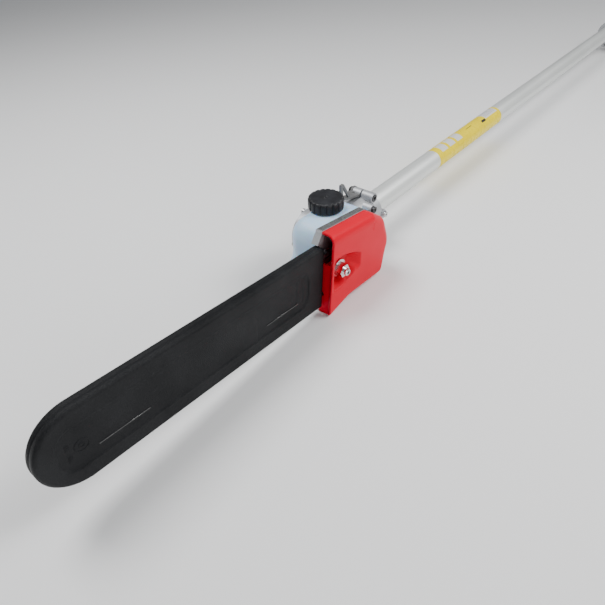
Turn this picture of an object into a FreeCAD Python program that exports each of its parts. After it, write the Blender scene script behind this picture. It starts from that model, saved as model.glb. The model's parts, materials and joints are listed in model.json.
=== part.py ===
"""Telescoping pole saw: a cutting head on a two-stage tube, driven by a shaft inside the tube.

Head frame: the tube's axis is X and meets the output shaft's axis (Y) at the head's centre.
+X runs back along the pole, -Y is the sprocket side, +Z is the filler-cap side. The bar and its
cover are tilted a few degrees about Y. Every piece is drawn in that frame and then moved along
the pole, so that the model's origin is the rear face of the pole's end spigot.
"""
import FreeCAD, Part
import math
import os

import Sketcher
from FreeCAD import Placement, Rotation, Vector

document = FreeCAD.newDocument("PoleSaw")
sheet = document.addObject("Spreadsheet::Sheet", "Sizes")
aliases = []
nodes = []
offsets = {}


class Size:
    """A number together with the sheet expression that gives it."""

    def __init__(self, value, text):
        self.value = float(value)
        self.text = text

    def __float__(self):
        return self.value

    def joined(self, other, value, sign):
        return Size(value, "({} {} {})".format(self.text, sign, other.text))

    def __add__(self, other):
        other = as_size(other)
        return self.joined(other, self.value + other.value, "+")

    def __radd__(self, other):
        return as_size(other) + self

    def __sub__(self, other):
        other = as_size(other)
        return self.joined(other, self.value - other.value, "-")

    def __rsub__(self, other):
        return as_size(other) - self

    def __mul__(self, other):
        other = as_size(other)
        return self.joined(other, self.value * other.value, "*")

    def __rmul__(self, other):
        return as_size(other) * self

    def __truediv__(self, other):
        other = as_size(other)
        return self.joined(other, self.value / other.value, "/")

    def __neg__(self):
        return Size(-self.value, "(-1 * {})".format(self.text))


def as_size(thing):
    return thing if isinstance(thing, Size) else Size(thing, repr(float(thing)))


def size(alias, value, note):
    """Writes one driving dimension to the sheet and returns it."""
    aliases.append(alias)
    row = len(aliases)
    sheet.set("A{}".format(row), note)
    sheet.set("B{}".format(row), str(value))
    sheet.setAlias("B{}".format(row), alias)
    return Size(value, "Sizes." + alias)


# ---------------------------------------------------------------- driving dimensions
reach = size("reach", 1700, "head centre to the spigot's rear face")
head_pitch = size("head_pitch", 4.8, "tilt of the bar against the pole, degrees")
gap = size("gap", 0.3, "air between neighbouring shells")
run_gap = size("run_gap", 0.06, "radial running clearance")

boom_radius = size("boom_radius", 14, "front tube, outside radius")
boom_wall = size("boom_wall", 1.5, "front tube, wall")
boom_start = size("boom_start", 42, "front tube, front end")
boom_end = size("boom_end", 1300, "front tube, rear end")
label_start = size("label_start", 241, "pole label, front edge")
label_length = size("label_length", 200, "pole label, length")
label_wall = size("label_wall", 0.15, "pole label, thickness")

pole_radius = size("pole_radius", 16.5, "rear tube, outside radius")
pole_wall = size("pole_wall", 1.8, "rear tube, wall")
pole_mouth = size("pole_mouth", 1064, "rear tube, front end")
pole_end = size("pole_end", 1612, "rear tube, rear end")
spigot_radius = size("spigot_radius", 14, "end spigot, outside radius")
spigot_bore = size("spigot_bore", 9.5, "end spigot, inside radius")
spigot_hole = size("spigot_hole", 3.2, "end spigot, locating hole radius")
spigot_hole_back = size("spigot_hole_back", 30, "locating hole to the rear face")
plug_length = size("plug_length", 32, "spigot's plug inside the rear tube")

collar_radius = size("collar_radius", 21.5, "lock collar, outside radius")
collar_length = size("collar_length", 46, "lock collar, length")
lock_drop = size("lock_drop", 28, "lock bolt below the pole's axis")

case_radius = size("case_radius", 25, "gear chamber, outside radius")
case_far = size("case_far", 27, "gear chamber, far face")
plate_back = size("plate_back", 33, "flange plate, back face")
plate_face = size("plate_face", 36.3, "flange plate, floor face")
rim_face = size("rim_face", 41, "flange rim, face that meets the cover")
rim_wide = size("rim_wide", 4, "flange rim, width")
socket_radius = size("socket_radius", 22, "tube socket, outside radius")
socket_end = size("socket_end", 81, "tube socket, rear face")
clamp_back = size("clamp_back", 71, "clamp bolt behind the head's centre")
clamp_up = size("clamp_up", 23, "clamp bolt above the pole's axis")
ear_radius = size("ear_radius", 6, "clamp ear, radius")

bar_plane = size("bar_plane", 40.9, "middle plane of the bar")
bar_thick = size("bar_thick", 4, "bar thickness")
link_pitch = size("link_pitch", 19.05, "drive link spacing")
link_count = size("link_count", 42, "drive links in the loop")
sprocket_teeth = size("sprocket_teeth", 6, "drive sprocket teeth")
nose_teeth = size("nose_teeth", 8, "nose sprocket teeth")
rail_drop = size("rail_drop", 3.4, "rivet line to the bar's rail")
groove_wide = size("groove_wide", 1.5, "bar groove width")
groove_deep = size("groove_deep", 7.6, "bar groove depth")
stud_front = size("stud_front", 39, "bar stud ahead of the output shaft")
stud_radius = size("stud_radius", 4, "bar stud radius")
stud_drop = size("stud_drop", 2.5, "bar stud below the bar's centre line")
tension_drop = size("tension_drop", 9.5, "tension screw below the bar's centre line")
tension_travel = size("tension_travel", 4, "travel of the chain tensioner")

sprocket_radius = size("sprocket_radius", 14.4, "drive sprocket, outside radius")
sprocket_thick = size("sprocket_thick", 8, "drive sprocket thickness")
shaft_radius = size("shaft_radius", 6, "output shaft radius")
gear_module = size("gear_module", 2, "bevel gear module")
pinion_teeth = size("pinion_teeth", 12, "bevel pinion teeth")
gear_teeth = size("gear_teeth", 16, "bevel gear teeth")
gear_face = size("gear_face", 7, "bevel gear face width")
drive_radius = size("drive_radius", 5, "drive shaft radius")
square_side = size("square_side", 8, "square drive shaft, side")
square_gap = size("square_gap", 0.15, "square shaft to sleeve, each side")
drive_end = size("drive_end", 1400, "square drive shaft, rear end")
sleeve_start = size("sleeve_start", 1200, "drive sleeve, front end")
socket_long = size("socket_long", 72, "drive sleeve, length of its end socket")
sleeve_radius = size("sleeve_radius", 7.5, "drive sleeve, outside radius")

cover_face = size("cover_face", 57, "sprocket cover, outer face")
cover_wall = size("cover_wall", 2.5, "sprocket cover wall")
cover_front = size("cover_front", 63, "sprocket cover, front edge")
pocket_face = size("pocket_face", 45.8, "nut pocket, floor")
nut_washer = size("nut_washer", 10.25, "bar nut's flange radius")

scabbard_start = size("scabbard_start", 66.8, "scabbard, open end ahead of the head's centre")
scabbard_tip = size("scabbard_tip", 368, "scabbard, tip")
scabbard_high = size("scabbard_high", 72.5, "scabbard, height")
scabbard_thick = size("scabbard_thick", 12.6, "scabbard, thickness")
scabbard_wall = size("scabbard_wall", 1.8, "scabbard wall")
scabbard_drop = size("scabbard_drop", 2.4, "scabbard centre below the bar's")

tank_front = size("tank_front", 56, "oil tank, front face")
tank_top = size("tank_top", 45.6, "oil tank, top")
tank_rear = size("tank_rear", 38, "oil tank, rear face")
tank_far = size("tank_far", 10, "oil tank, far face")
tank_wall = size("tank_wall", 2, "oil tank wall")
neck_x = size("neck_x", 9.7, "filler neck ahead of the head's centre")
neck_y = size("neck_y", 7.5, "filler neck, towards the sprocket side")
neck_radius = size("neck_radius", 13.4, "filler neck, outside radius")
neck_top = size("neck_top", 53, "filler neck, rim")
cap_radius = size("cap_radius", 19.2, "tank cap, outside radius")
cap_base = size("cap_base", 46.3, "tank cap, lower edge")
cap_top = size("cap_top", 58.8, "tank cap, top")

AXIS = {"X": Vector(1, 0, 0), "Y": Vector(0, 1, 0), "Z": Vector(0, 0, 1)}
tilt = Rotation(AXIS["Y"], head_pitch.value)
cos_pitch = Size(math.cos(math.radians(head_pitch.value)), "cos({} * 1 deg)".format(head_pitch.text))
sin_pitch = Size(math.sin(math.radians(head_pitch.value)), "sin({} * 1 deg)".format(head_pitch.text))


# ---------------------------------------------------------------- how pieces are drawn
def origin_plane(body, role):
    for feature in body.Origin.OriginFeatures:
        if feature.Role == role:
            return feature
    raise RuntimeError("no plane " + role)


def new_body(name):
    return document.addObject("PartDesign::Body", name)


def bind(thing, path, value):
    """Binds one property to the sheet."""
    if "Sizes." in value.text:
        thing.setExpression(path, value.text)


def new_sketch(body, plane, offset):
    sketch = body.newObject("Sketcher::SketchObject", body.Name + "_outline")
    sketch.AttachmentSupport = [(origin_plane(body, plane + "_Plane"), "")]
    sketch.MapMode = "FlatFace"
    sketch.AttachmentOffset = Placement(Vector(0, 0, offset.value), Rotation())
    bind(sketch, "AttachmentOffset.Base.z", offset)
    return sketch


def dimension(sketch, kind, index, point, value):
    made = sketch.addConstraint(Sketcher.Constraint(kind, -1, 1, index, point, value.value))
    bind(sketch, "Constraints[{}]".format(made), value)


def outline(body, plane, corners, offset=0):
    """Draws a closed outline of straight lines; every corner is dimensioned from the origin."""
    sketch = new_sketch(body, plane, as_size(offset))
    corners = [(as_size(across), as_size(up)) for across, up in corners]
    count = len(corners)
    for index in range(count):
        first, second = corners[index], corners[(index + 1) % count]
        sketch.addGeometry(Part.LineSegment(Vector(first[0].value, first[1].value, 0),
                                            Vector(second[0].value, second[1].value, 0)), False)
    for index in range(count):
        sketch.addConstraint(Sketcher.Constraint("Coincident", index, 2, (index + 1) % count, 1))
    for index, (across, up) in enumerate(corners):
        dimension(sketch, "DistanceX", index, 1, across)
        dimension(sketch, "DistanceY", index, 1, up)
    return sketch


def circle(body, plane, centre, radius, offset=0):
    sketch = new_sketch(body, plane, as_size(offset))
    across, up = as_size(centre[0]), as_size(centre[1])
    radius = as_size(radius)
    sketch.addGeometry(Part.Circle(Vector(across.value, up.value, 0), AXIS["Z"], radius.value), False)
    made = sketch.addConstraint(Sketcher.Constraint("Radius", 0, radius.value))
    bind(sketch, "Constraints[{}]".format(made), radius)
    dimension(sketch, "DistanceX", 0, 3, across)
    dimension(sketch, "DistanceY", 0, 3, up)
    return sketch


def pad(body, sketch, length):
    """Raises an outline along its plane's normal: +X for YZ, -Y for XZ, +Z for XY."""
    feature = body.newObject("PartDesign::Pad", body.Name + "_pad")
    feature.Profile = sketch
    feature.Length = as_size(length).value
    bind(feature, "Length", as_size(length))
    return feature


def pocket(body, sketch, length):
    """Cuts an outline into the body, along its plane's normal as a pad would go."""
    feature = body.newObject("PartDesign::Pocket", body.Name + "_pocket")
    feature.Profile = sketch
    feature.Length = as_size(length).value
    feature.Reversed = True
    bind(feature, "Length", as_size(length))
    document.recompute()
    return feature


def turned(name, axis, profile):
    """Spins a profile of (along, radius) corners about an axis through the origin."""
    body = new_body(name)
    plane = {"X": "XZ", "Y": "YZ", "Z": "XZ"}[axis]
    if axis == "Z":
        profile = [(radius, along) for along, radius in profile]
    sketch = outline(body, plane, profile)
    feature = body.newObject("PartDesign::Revolution", name + "_turn")
    feature.Profile = sketch
    feature.ReferenceAxis = (sketch, ["V_Axis" if axis == "Z" else "H_Axis"])
    feature.Angle = 360.0
    return body


def ring(name, axis, start, end, inner, outer):
    return turned(name, axis, [(start, inner), (end, inner), (end, outer), (start, outer)])


def move(thing, along=0, across=0, up=0):
    """Shifts a drawn operand inside the head frame."""
    thing.Placement = Placement(Vector(float(as_size(along)), float(as_size(across)),
                                       float(as_size(up))), thing.Placement.Rotation)
    for path, value in (("x", along), ("y", across), ("z", up)):
        bind(thing, "Placement.Base." + path, as_size(value))
    offsets[thing.Name] = (as_size(along), as_size(across), as_size(up))
    return thing


def rod(axis, radius, start, end, across=(0, 0)):
    """A plain cylinder; across gives its two other coordinates in X, Y, Z order."""
    thing = document.addObject("Part::Cylinder", "rod")
    radius, start, end = as_size(radius), as_size(start), as_size(end)
    thing.Radius = radius.value
    thing.Height = (end - start).value
    bind(thing, "Radius", radius)
    bind(thing, "Height", end - start)
    thing.Placement = Placement(Vector(), Rotation(AXIS["Z"], AXIS[axis]))
    centre = list(across)
    centre.insert("XYZ".index(axis), start)
    return move(thing, *centre)


def block(low, high):
    thing = document.addObject("Part::Box", "block")
    for side, first, last in zip(("Length", "Width", "Height"), low, high):
        extent = as_size(last) - as_size(first)
        setattr(thing, side, extent.value)
        bind(thing, side, extent)
    return move(thing, *low)


def hexagon(axis, across_flats, start, end, across=(0, 0)):
    thing = document.addObject("Part::Prism", "hexagon")
    start, end = as_size(start), as_size(end)
    thing.Polygon = 6
    thing.Circumradius = as_size(across_flats).value / math.sqrt(3)
    thing.Height = (end - start).value
    bind(thing, "Height", end - start)
    thing.Placement = Placement(Vector(), Rotation(AXIS["Z"], AXIS[axis]))
    centre = list(across)
    centre.insert("XYZ".index(axis), start)
    return move(thing, *centre)


def tilted(thing):
    """Turns an operand that was drawn along the bar into the pole's frame."""
    thing.Placement = Placement(Vector(), tilt)
    thing.setExpression("Placement.Rotation.Angle", head_pitch.text)
    return thing


def fuse(*things):
    joined = document.addObject("Part::MultiFuse", "joined")
    joined.Shapes = list(things)
    return joined


def weld(*things):
    """Joins pieces one after another, for castings with many touching faces."""
    whole = things[0]
    for thing in things[1:]:
        whole = fuse(whole, thing)
    return whole


def cut(base, *tools):
    left = document.addObject("Part::Cut", "left")
    left.Base = base
    left.Tool = tools[0] if len(tools) == 1 else fuse(*tools)
    return left


def carve(base, *tools):
    """Cuts tools away one after another, for castings with many crossing holes."""
    for tool in tools:
        base = cut(base, tool)
    return base


def round_edges(body, radius, wanted):
    """Rounds the edges that a test picks, by their position in the head frame."""
    document.recompute()
    edges = body.Shape.Edges
    picked = ["Edge{}".format(index + 1) for index, edge in enumerate(edges) if wanted(edge)]
    if not picked:
        raise RuntimeError("nothing to round on " + body.Name)
    fillet = body.newObject("PartDesign::Fillet", body.Name + "_fillet")
    fillet.Base = (body.Tip if body.Tip != fillet else fillet.BaseFeature, picked)
    fillet.Radius = as_size(radius).value
    bind(fillet, "Radius", as_size(radius))
    document.recompute()
    return fillet


def solid_of(name, shape):
    """A piece whose shape is worked out in code from the sheet's values."""
    thing = document.addObject("Part::Feature", name)
    thing.Shape = shape
    return thing


def finish(thing, label, on_bar=False):
    """Names a piece and moves it from the head frame to its place on the pole."""
    turn = tilt if on_bar else Rotation()
    ahead, across, up = offsets.get(thing.Name, (as_size(0), as_size(0), as_size(0)))
    if on_bar:
        ahead, up = ahead * cos_pitch + up * sin_pitch, up * cos_pitch - ahead * sin_pitch
    thing.Label = label
    thing.Placement = Placement(Vector((ahead - reach).value, across.value, up.value), turn)
    for path, value in (("x", ahead - reach), ("y", across), ("z", up)):
        bind(thing, "Placement.Base." + path, value)
    if on_bar:
        thing.setExpression("Placement.Rotation.Angle", head_pitch.text)
    nodes.append(thing)
    return thing


def along(edge, axis):
    """True for a straight edge that runs along an axis."""
    straight = isinstance(edge.Curve, (Part.Line, Part.LineSegment))
    return straight and abs(edge.tangentAt(edge.FirstParameter).dot(AXIS[axis])) > 0.999


def screw(name, axis, place, head_radius, head_start, head_end, shank_radius, shank_end, socket=3.0):
    """A socket screw; the head lies between head_start and head_end, the shank runs on from head_end."""
    body = turned(name, axis, [(head_start, 0), (head_start, head_radius), (head_end, head_radius),
                               (head_end, shank_radius), (shank_end, shank_radius), (shank_end, 0)])
    depth = (as_size(head_end) - as_size(head_start)) * 0.6
    mouth = as_size(head_start) - (0.5 if float(as_size(head_end)) > float(as_size(head_start)) else -0.5)
    low, high = (mouth, as_size(head_start) + depth)
    if float(low) > float(high):
        low, high = high, low
    key = hexagon(axis, socket, low, high)
    return move(cut(body, key), *place)


# ---------------------------------------------------------------- tubes and drive line
boom_bore = boom_radius - boom_wall
pole_bore = pole_radius - pole_wall
finish(ring("boom_tube", "X", boom_start, boom_end, boom_bore, boom_radius), "inner_tube")
finish(ring("label_ring", "X", label_start, label_start + label_length,
            boom_radius, boom_radius + label_wall), "pole_label")
finish(ring("guide_ring", "X", boom_end - 42, boom_end - 2, boom_radius, pole_bore - run_gap),
       "tube_guide")
finish(ring("rear_tube", "X", pole_mouth, pole_end, pole_bore, pole_radius), "outer_tube")
finish(ring("mouth_ring", "X", pole_mouth - 3, pole_mouth + 30, boom_radius + run_gap, pole_bore),
       "mouth_bush")

spigot = turned("spigot_turning", "X", [
    (pole_end - plug_length, spigot_bore), (reach, spigot_bore), (reach, spigot_radius),
    (pole_end + 4, spigot_radius), (pole_end + 4, pole_radius), (pole_end, pole_radius),
    (pole_end, pole_bore), (pole_end - plug_length, pole_bore)])
locating_hole = rod("Y", spigot_hole, -spigot_radius - 1, 0, (reach - spigot_hole_back, 0))
finish(cut(spigot, locating_hole), "end_spigot")

bush_bore = sleeve_radius + run_gap
bushes = [ring("bush_{}".format(index), "X", reach - back, reach - back + 12, bush_bore, spigot_bore)
          for index, back in enumerate((104, 22))]
finish(fuse(*bushes), "sleeve_bushes")
liner_bore = square_side * 0.7072 + run_gap
liners = [ring("liner_{}".format(index), "X", start, start + 22, liner_bore, boom_bore)
          for index, start in enumerate((290, 590, 890))]
finish(fuse(*liners), "shaft_bushes")

square_half = square_side / 2 + square_gap
square_bore = block((sleeve_start - 1, -square_half, -square_half), (reach, square_half, square_half))
socket_front = reach - socket_long
finish(cut(rod("X", sleeve_radius, sleeve_start, socket_front), square_bore), "drive_sleeve")
finish(cut(rod("X", sleeve_radius, socket_front, reach - 2), square_bore), "drive_socket")

pitch_one = gear_module * pinion_teeth / 2
pitch_two = gear_module * gear_teeth / 2
round_shaft = rod("X", drive_radius, pitch_two * 0.55, 60)
square_shaft = block((60, -square_side / 2, -square_side / 2), (drive_end, square_side / 2, square_side / 2))
finish(fuse(round_shaft, square_shaft), "drive_shaft")


# ---------------------------------------------------------------- bevel gears
def bevel_teeth(count, own, mate, axis, side, phase):
    """Straight bevel teeth round an axis; each is a wedge that runs to the pitch cones' apex."""
    reach_out = math.hypot(own, mate)
    generator = (mate / reach_out, own / reach_out)
    normal = (-own / reach_out, mate / reach_out)
    module = gear_module.value
    half_root, half_tip = 0.9 * module, 0.28 * module
    root, tip = -1.35 * module, 0.9 * module
    teeth = []
    for index in range(count):
        turn = Rotation(axis, math.degrees(2 * math.pi * index / count) + phase)
        wires = []
        for scale in (1.0, 1.0 - gear_face.value / reach_out):
            ring_points = []
            for height, half in ((root, -half_root), (root, half_root), (tip, half_tip), (tip, -half_tip)):
                axial = scale * (reach_out * generator[0] + height * normal[0])
                radial = scale * (reach_out * generator[1] + height * normal[1])
                point = axis * (axial * side[0]) + side[1] * radial + axis.cross(side[1]) * (half * scale)
                ring_points.append(turn.multVec(point))
            wires.append(Part.makePolygon(ring_points + ring_points[:1]))
        teeth.append(Part.makeLoft(wires, True, True))
    return teeth


def bevel_blank(own, mate, axis, facing, bore, hub_end):
    """The cone that carries the teeth, with a hub on its back."""
    reach_out = math.hypot(own, mate)
    root = 1.2 * gear_module.value
    short = 1.0 - gear_face.value / reach_out
    axial = mate + root * own / reach_out
    radial = own - root * mate / reach_out
    corners = [(axial * short, bore), (axial * short, radial * short), (axial, radial),
               (axial + 1.5, radial - 1), (hub_end, radial - 1), (hub_end, bore)]
    other = AXIS["Z"]
    points = [axis * (facing * a) + other * r for a, r in corners]
    return Part.Face(Part.makePolygon(points + points[:1])).revolve(Vector(), axis, 360)


own, mate = pitch_one.value, pitch_two.value
pinion = bevel_blank(own, mate, AXIS["X"], 1, drive_radius.value, 21.7)
for tooth in bevel_teeth(int(pinion_teeth.value), own, mate, AXIS["X"], (1, -AXIS["Y"]), 0):
    pinion = pinion.fuse(tooth)
finish(solid_of("pinion_solid", pinion.removeSplitter()), "bevel_pinion")
wheel = bevel_blank(mate, own, AXIS["Y"], -1, shaft_radius.value, 22.7)
half_step = 180.0 / gear_teeth.value
for tooth in bevel_teeth(int(gear_teeth.value), mate, own, AXIS["Y"], (-1, AXIS["X"]), half_step):
    wheel = wheel.fuse(tooth)
finish(solid_of("gear_solid", wheel.removeSplitter()), "bevel_gear")


# ---------------------------------------------------------------- bearings
def bearing(axis, start, width, bore, outside, ball_radius, ball_count):
    """A ball bearing: outer race, inner race and balls, each with the grooves it needs."""
    middle = (bore + outside) / 2
    centre = axis * (start + width / 2)
    groove = Part.makeTorus(middle, ball_radius + 0.08, centre, axis)

    def race(inner, outer):
        body = Part.makeCylinder(outer, width, axis * start, axis)
        body = body.cut(Part.makeCylinder(inner, width, axis * start, axis))
        return body.cut(groove)

    spread = (outside - bore) * 0.18
    balls = []
    for index in range(ball_count):
        spoke = Rotation(axis, 360.0 * index / ball_count).multVec(AXIS["Z"] * middle)
        balls.append(Part.makeSphere(ball_radius, centre + spoke))
    return race(middle + spread, outside), race(bore, middle - spread), balls


near_bearing = bearing(AXIS["Y"], -31.0, 8.0, shaft_radius.value, 14.0, 2.3, 9)
far_bearing = bearing(AXIS["Y"], 15.0, 8.0, shaft_radius.value, 14.0, 2.3, 9)
pinion_pair = [bearing(AXIS["X"], start, 8.0, drive_radius.value, 13.0, 2.2, 9) for start in (22.0, 31.0)]
for label, pair in (("output_bearing", (near_bearing, far_bearing)), ("pinion_bearing", pinion_pair)):
    finish(solid_of(label + "_outers", Part.makeCompound([one[0] for one in pair])), label + "_outer_races")
    finish(solid_of(label + "_inners", Part.makeCompound([one[1] for one in pair])), label + "_inner_races")
    finish(solid_of(label + "_spheres", Part.makeCompound(pair[0][2] + pair[1][2])), label + "_balls")
finish(ring("seal_ring", "Y", -35.8, -32.2, shaft_radius + run_gap, 12), "shaft_seal")

# ---------------------------------------------------------------- output shaft
sprocket_near = bar_plane - sprocket_thick / 2
sprocket_far = bar_plane + sprocket_thick / 2
clip_groove = sprocket_far + 1.4
finish(turned("output_turning", "Y", [
    (23, 0), (23, shaft_radius), (-clip_groove, shaft_radius), (-clip_groove, shaft_radius - 1),
    (-clip_groove - 1, shaft_radius - 1), (-clip_groove - 1, shaft_radius),
    (-clip_groove - 2.4, shaft_radius), (-clip_groove - 2.4, 0)]), "output_shaft")
worm = turned("worm_turning", "Y", [(3, shaft_radius), (3, 7.4), (4, 8.4), (5, 7.4), (6, 8.4), (7, 7.4),
                                    (8, 8.4), (9, 7.4), (10, 8.4), (11, 7.4), (11, shaft_radius)])
finish(worm, "oil_pump_worm")

star = new_body("sprocket_star")
pad(star, circle(star, "XZ", (0, 0), sprocket_radius, sprocket_near), sprocket_thick)
pocket(star, circle(star, "XZ", (0, 0), shaft_radius, sprocket_near - 1), sprocket_thick + 2)
tang_slot = outline(star, "XZ", [(9.8, -3.7), (20, -3.7), (20, 3.7), (9.8, 3.7)], sprocket_near - 1)
slot = pocket(star, tang_slot, sprocket_thick + 2)
slots = star.newObject("PartDesign::PolarPattern", "slots")
slots.Originals = [slot]
slots.Axis = (origin_plane(star, "Y_Axis"), [""])
slots.Angle = 360
slots.Occurrences = int(sprocket_teeth.value)
star.Tip = slots
finish(star, "drive_sprocket", on_bar=True)
finish(ring("thrust_washer", "Y", -clip_groove + 0.1, -sprocket_far - 0.1, shaft_radius + 0.1, 10.5),
       "sprocket_washer")
clip_ring = ring("clip_ring", "Y", -clip_groove - 0.95, -clip_groove - 0.05, shaft_radius - 0.95, 8.6)
clip_gap = block((-2.2, -clip_groove - 2, -12), (2.2, -clip_groove + 1, 0))
finish(cut(clip_ring, clip_gap), "sprocket_clip")

# ---------------------------------------------------------------- chain loop and bar outline
pitch = link_pitch.value / 2
rear_circle = sprocket_teeth.value * link_pitch.value / (2 * math.pi)
nose_circle = nose_teeth.value * link_pitch.value / (2 * math.pi)
loop = link_count.value * link_pitch.value
nose_back = (loop - math.pi * (rear_circle + nose_circle)) / 2
for attempt in range(6):
    lean = math.asin((nose_circle - rear_circle) / nose_back)
    wraps = math.pi * (rear_circle + nose_circle) + 2 * lean * (nose_circle - rear_circle)
    nose_back = (loop - wraps) / (2 * math.cos(lean))
straight = nose_back * math.cos(lean)
rear_wrap = rear_circle * (math.pi / 2 - lean)
mid_plane = -bar_plane.value


def on_loop(distance):
    """The point on the rivet line at a distance from its rearmost point, going over the top."""
    distance = distance % loop
    if distance > loop / 2:
        x, z = on_loop(loop - distance)
        return x, -z
    if distance < rear_wrap:
        angle = distance / rear_circle
        return rear_circle * math.cos(angle), rear_circle * math.sin(angle)
    if distance < rear_wrap + straight:
        done = (distance - rear_wrap) / straight
        start = (rear_circle * math.sin(lean), rear_circle * math.cos(lean))
        end = (-nose_back + nose_circle * math.sin(lean), nose_circle * math.cos(lean))
        return start[0] + (end[0] - start[0]) * done, start[1] + (end[1] - start[1]) * done
    angle = math.pi / 2 - lean + (distance - rear_wrap - straight) / nose_circle
    return -nose_back + nose_circle * math.cos(angle), nose_circle * math.sin(angle)


def bar_slab(inset, thickness, tail):
    """The bar's outline, drawn in by a distance, as a slab about the bar's middle plane."""
    nose = nose_circle - rail_drop.value - inset
    slope = math.tan(lean)
    half_tail = nose / math.cos(lean) - (nose_back + tail) * slope
    touch = (-nose_back + nose * math.sin(lean), nose * math.cos(lean))
    tip = (-nose_back - nose, 0)
    low = mid_plane - thickness / 2
    top = Part.LineSegment(Vector(tail, low, half_tail), Vector(touch[0], low, touch[1])).toShape()
    arc = Part.Arc(Vector(touch[0], low, touch[1]), Vector(tip[0], low, 0),
                   Vector(touch[0], low, -touch[1])).toShape()
    bottom = Part.LineSegment(Vector(touch[0], low, -touch[1]), Vector(tail, low, -half_tail)).toShape()
    end = Part.LineSegment(Vector(tail, low, -half_tail), Vector(tail, low, half_tail)).toShape()
    return Part.Face(Part.Wire([top, arc, bottom, end])).extrude(Vector(0, thickness, 0))


def pin(radius, thickness, x, z):
    return Part.makeCylinder(radius, thickness, Vector(x, mid_plane - thickness / 2, z), AXIS["Y"])


bar_tail = -sprocket_radius.value - 9.0
thick = bar_thick.value
bar = bar_slab(0, thick, bar_tail)
bar = bar.cut(bar_slab(-1, groove_wide.value, bar_tail + 1).cut(
    bar_slab(groove_deep.value, groove_wide.value, bar_tail + 2)))
bar = bar.cut(pin(nose_circle - rail_drop.value + 0.5, 1.8, -nose_back, 0))
slot_half = stud_radius.value + 0.15
slot_ends = (-stud_front.value + tension_travel.value + 1, -stud_front.value - tension_travel.value - 10)
stud_z = -stud_drop.value
slot_low = Vector(slot_ends[1], mid_plane - 3, stud_z - slot_half)
bar = bar.cut(Part.makeBox(slot_ends[0] - slot_ends[1], 6, 2 * slot_half, slot_low))
tension_x = -46.0
tension_z = -tension_drop.value
for x, z, radius in ((slot_ends[0], stud_z, slot_half), (slot_ends[1], stud_z, slot_half),
                     (tension_x, tension_z, 2.0), (tension_x, -tension_z, 2.0), (-58.0, 0, 1.6)):
    bar = bar.cut(pin(radius, 6, x, z))
for index in range(4):
    bar = bar.cut(pin(1.2, 6, -nose_back + 7.2 * math.cos(index * math.pi / 2 + 0.785),
                      7.2 * math.sin(index * math.pi / 2 + 0.785)))
finish(solid_of("bar_solid", bar), "guide_bar", on_bar=True)
hub = pin(5.9, 1.8, -nose_back, 0)
finish(solid_of("hub_solid", hub), "nose_hub", on_bar=True)
nose_wheel = pin(16.2, 1.5, -nose_back, 0)
for index in range(int(nose_teeth.value)):
    angle = 360.0 * (index + 0.5) / nose_teeth.value + 180.0
    tooth = Part.makeBox(9.0, 1.5, 6.4, Vector(11.4, -0.75, -3.2))
    tooth.rotate(Vector(), AXIS["Y"], angle)
    tooth.translate(Vector(-nose_back, mid_plane, 0))
    nose_wheel = nose_wheel.fuse(tooth)
nose_wheel = nose_wheel.cut(pin(6.0, 3, -nose_back, 0)).removeSplitter()
finish(solid_of("nose_solid", nose_wheel), "nose_sprocket", on_bar=True)


def plate(points, thickness, level, holes=((-pitch / 2, 0), (pitch / 2, 0))):
    """A flat link plate in its own frame: x forward along the chain, z outwards, rivets at z = 0."""
    flat = [Vector(x, level, z) for x, z in points]
    body = Part.Face(Part.makePolygon(flat + flat[:1])).extrude(Vector(0, thickness, 0))
    for x, z in holes:
        body = body.cut(Part.makeCylinder(1.66, thickness, Vector(x, level, z), AXIS["Y"]))
    return body


end_x = pitch / 2 + 2.8
tie_points = [(-end_x, -1.2), (-end_x + 1.6, -2.7), (end_x - 1.6, -2.7), (end_x, -1.2),
              (end_x, 1.2), (end_x - 1.6, 2.8), (-end_x + 1.6, 2.8), (-end_x, 1.2)]
tang_points = [(-end_x, -1.2), (-end_x + 1.6, -2.6), (-4.0, -2.7), (-1.4, -7.0), (1.0, -7.0),
               (3.4, -2.7), (end_x - 1.6, -2.6), (end_x, -1.2), (end_x, 1.2), (end_x - 1.8, 2.8),
               (-end_x + 1.8, 2.8), (-end_x, 1.2)]
cutter_points = [(-end_x, -1.2), (-end_x + 1.6, -2.7), (end_x - 1.6, -2.7), (end_x, -1.2), (end_x, 3.6),
                 (end_x - 2.0, 5.2), (end_x - 3.6, 4.6), (1.6, 2.4), (-0.2, 2.6), (-1.4, 5.4),
                 (-end_x, 4.6)]
tang = plate(tang_points, 1.3, -0.65)
near_tie = plate(tie_points, 1.1, -1.85)
far_tie = plate(tie_points, 1.1, 0.75)
near_cutter = plate(cutter_points, 1.1, -1.85).fuse(
    Part.makeBox(5.0, 2.6, 0.9, Vector(-end_x, -3.0, 4.0))).removeSplitter()
far_cutter = near_cutter.mirror(Vector(), AXIS["Y"])
rivet = Part.makeCylinder(1.5, 3.9, Vector(0, -1.95, 0), AXIS["Y"])


def placed(shape, first, second):
    """Sets a link between two rivets of the loop, its front at the second."""
    (ax, az), (bx, bz) = on_loop(first), on_loop(second)
    angle = math.degrees(math.atan2(bz - az, ax - bx))
    turn = Rotation(AXIS["Y"], angle).multiply(Rotation(AXIS["Z"], 180))
    copy = shape.copy()
    copy.Placement = Placement(Vector((ax + bx) / 2, mid_plane, (az + bz) / 2), turn)
    return copy


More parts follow.
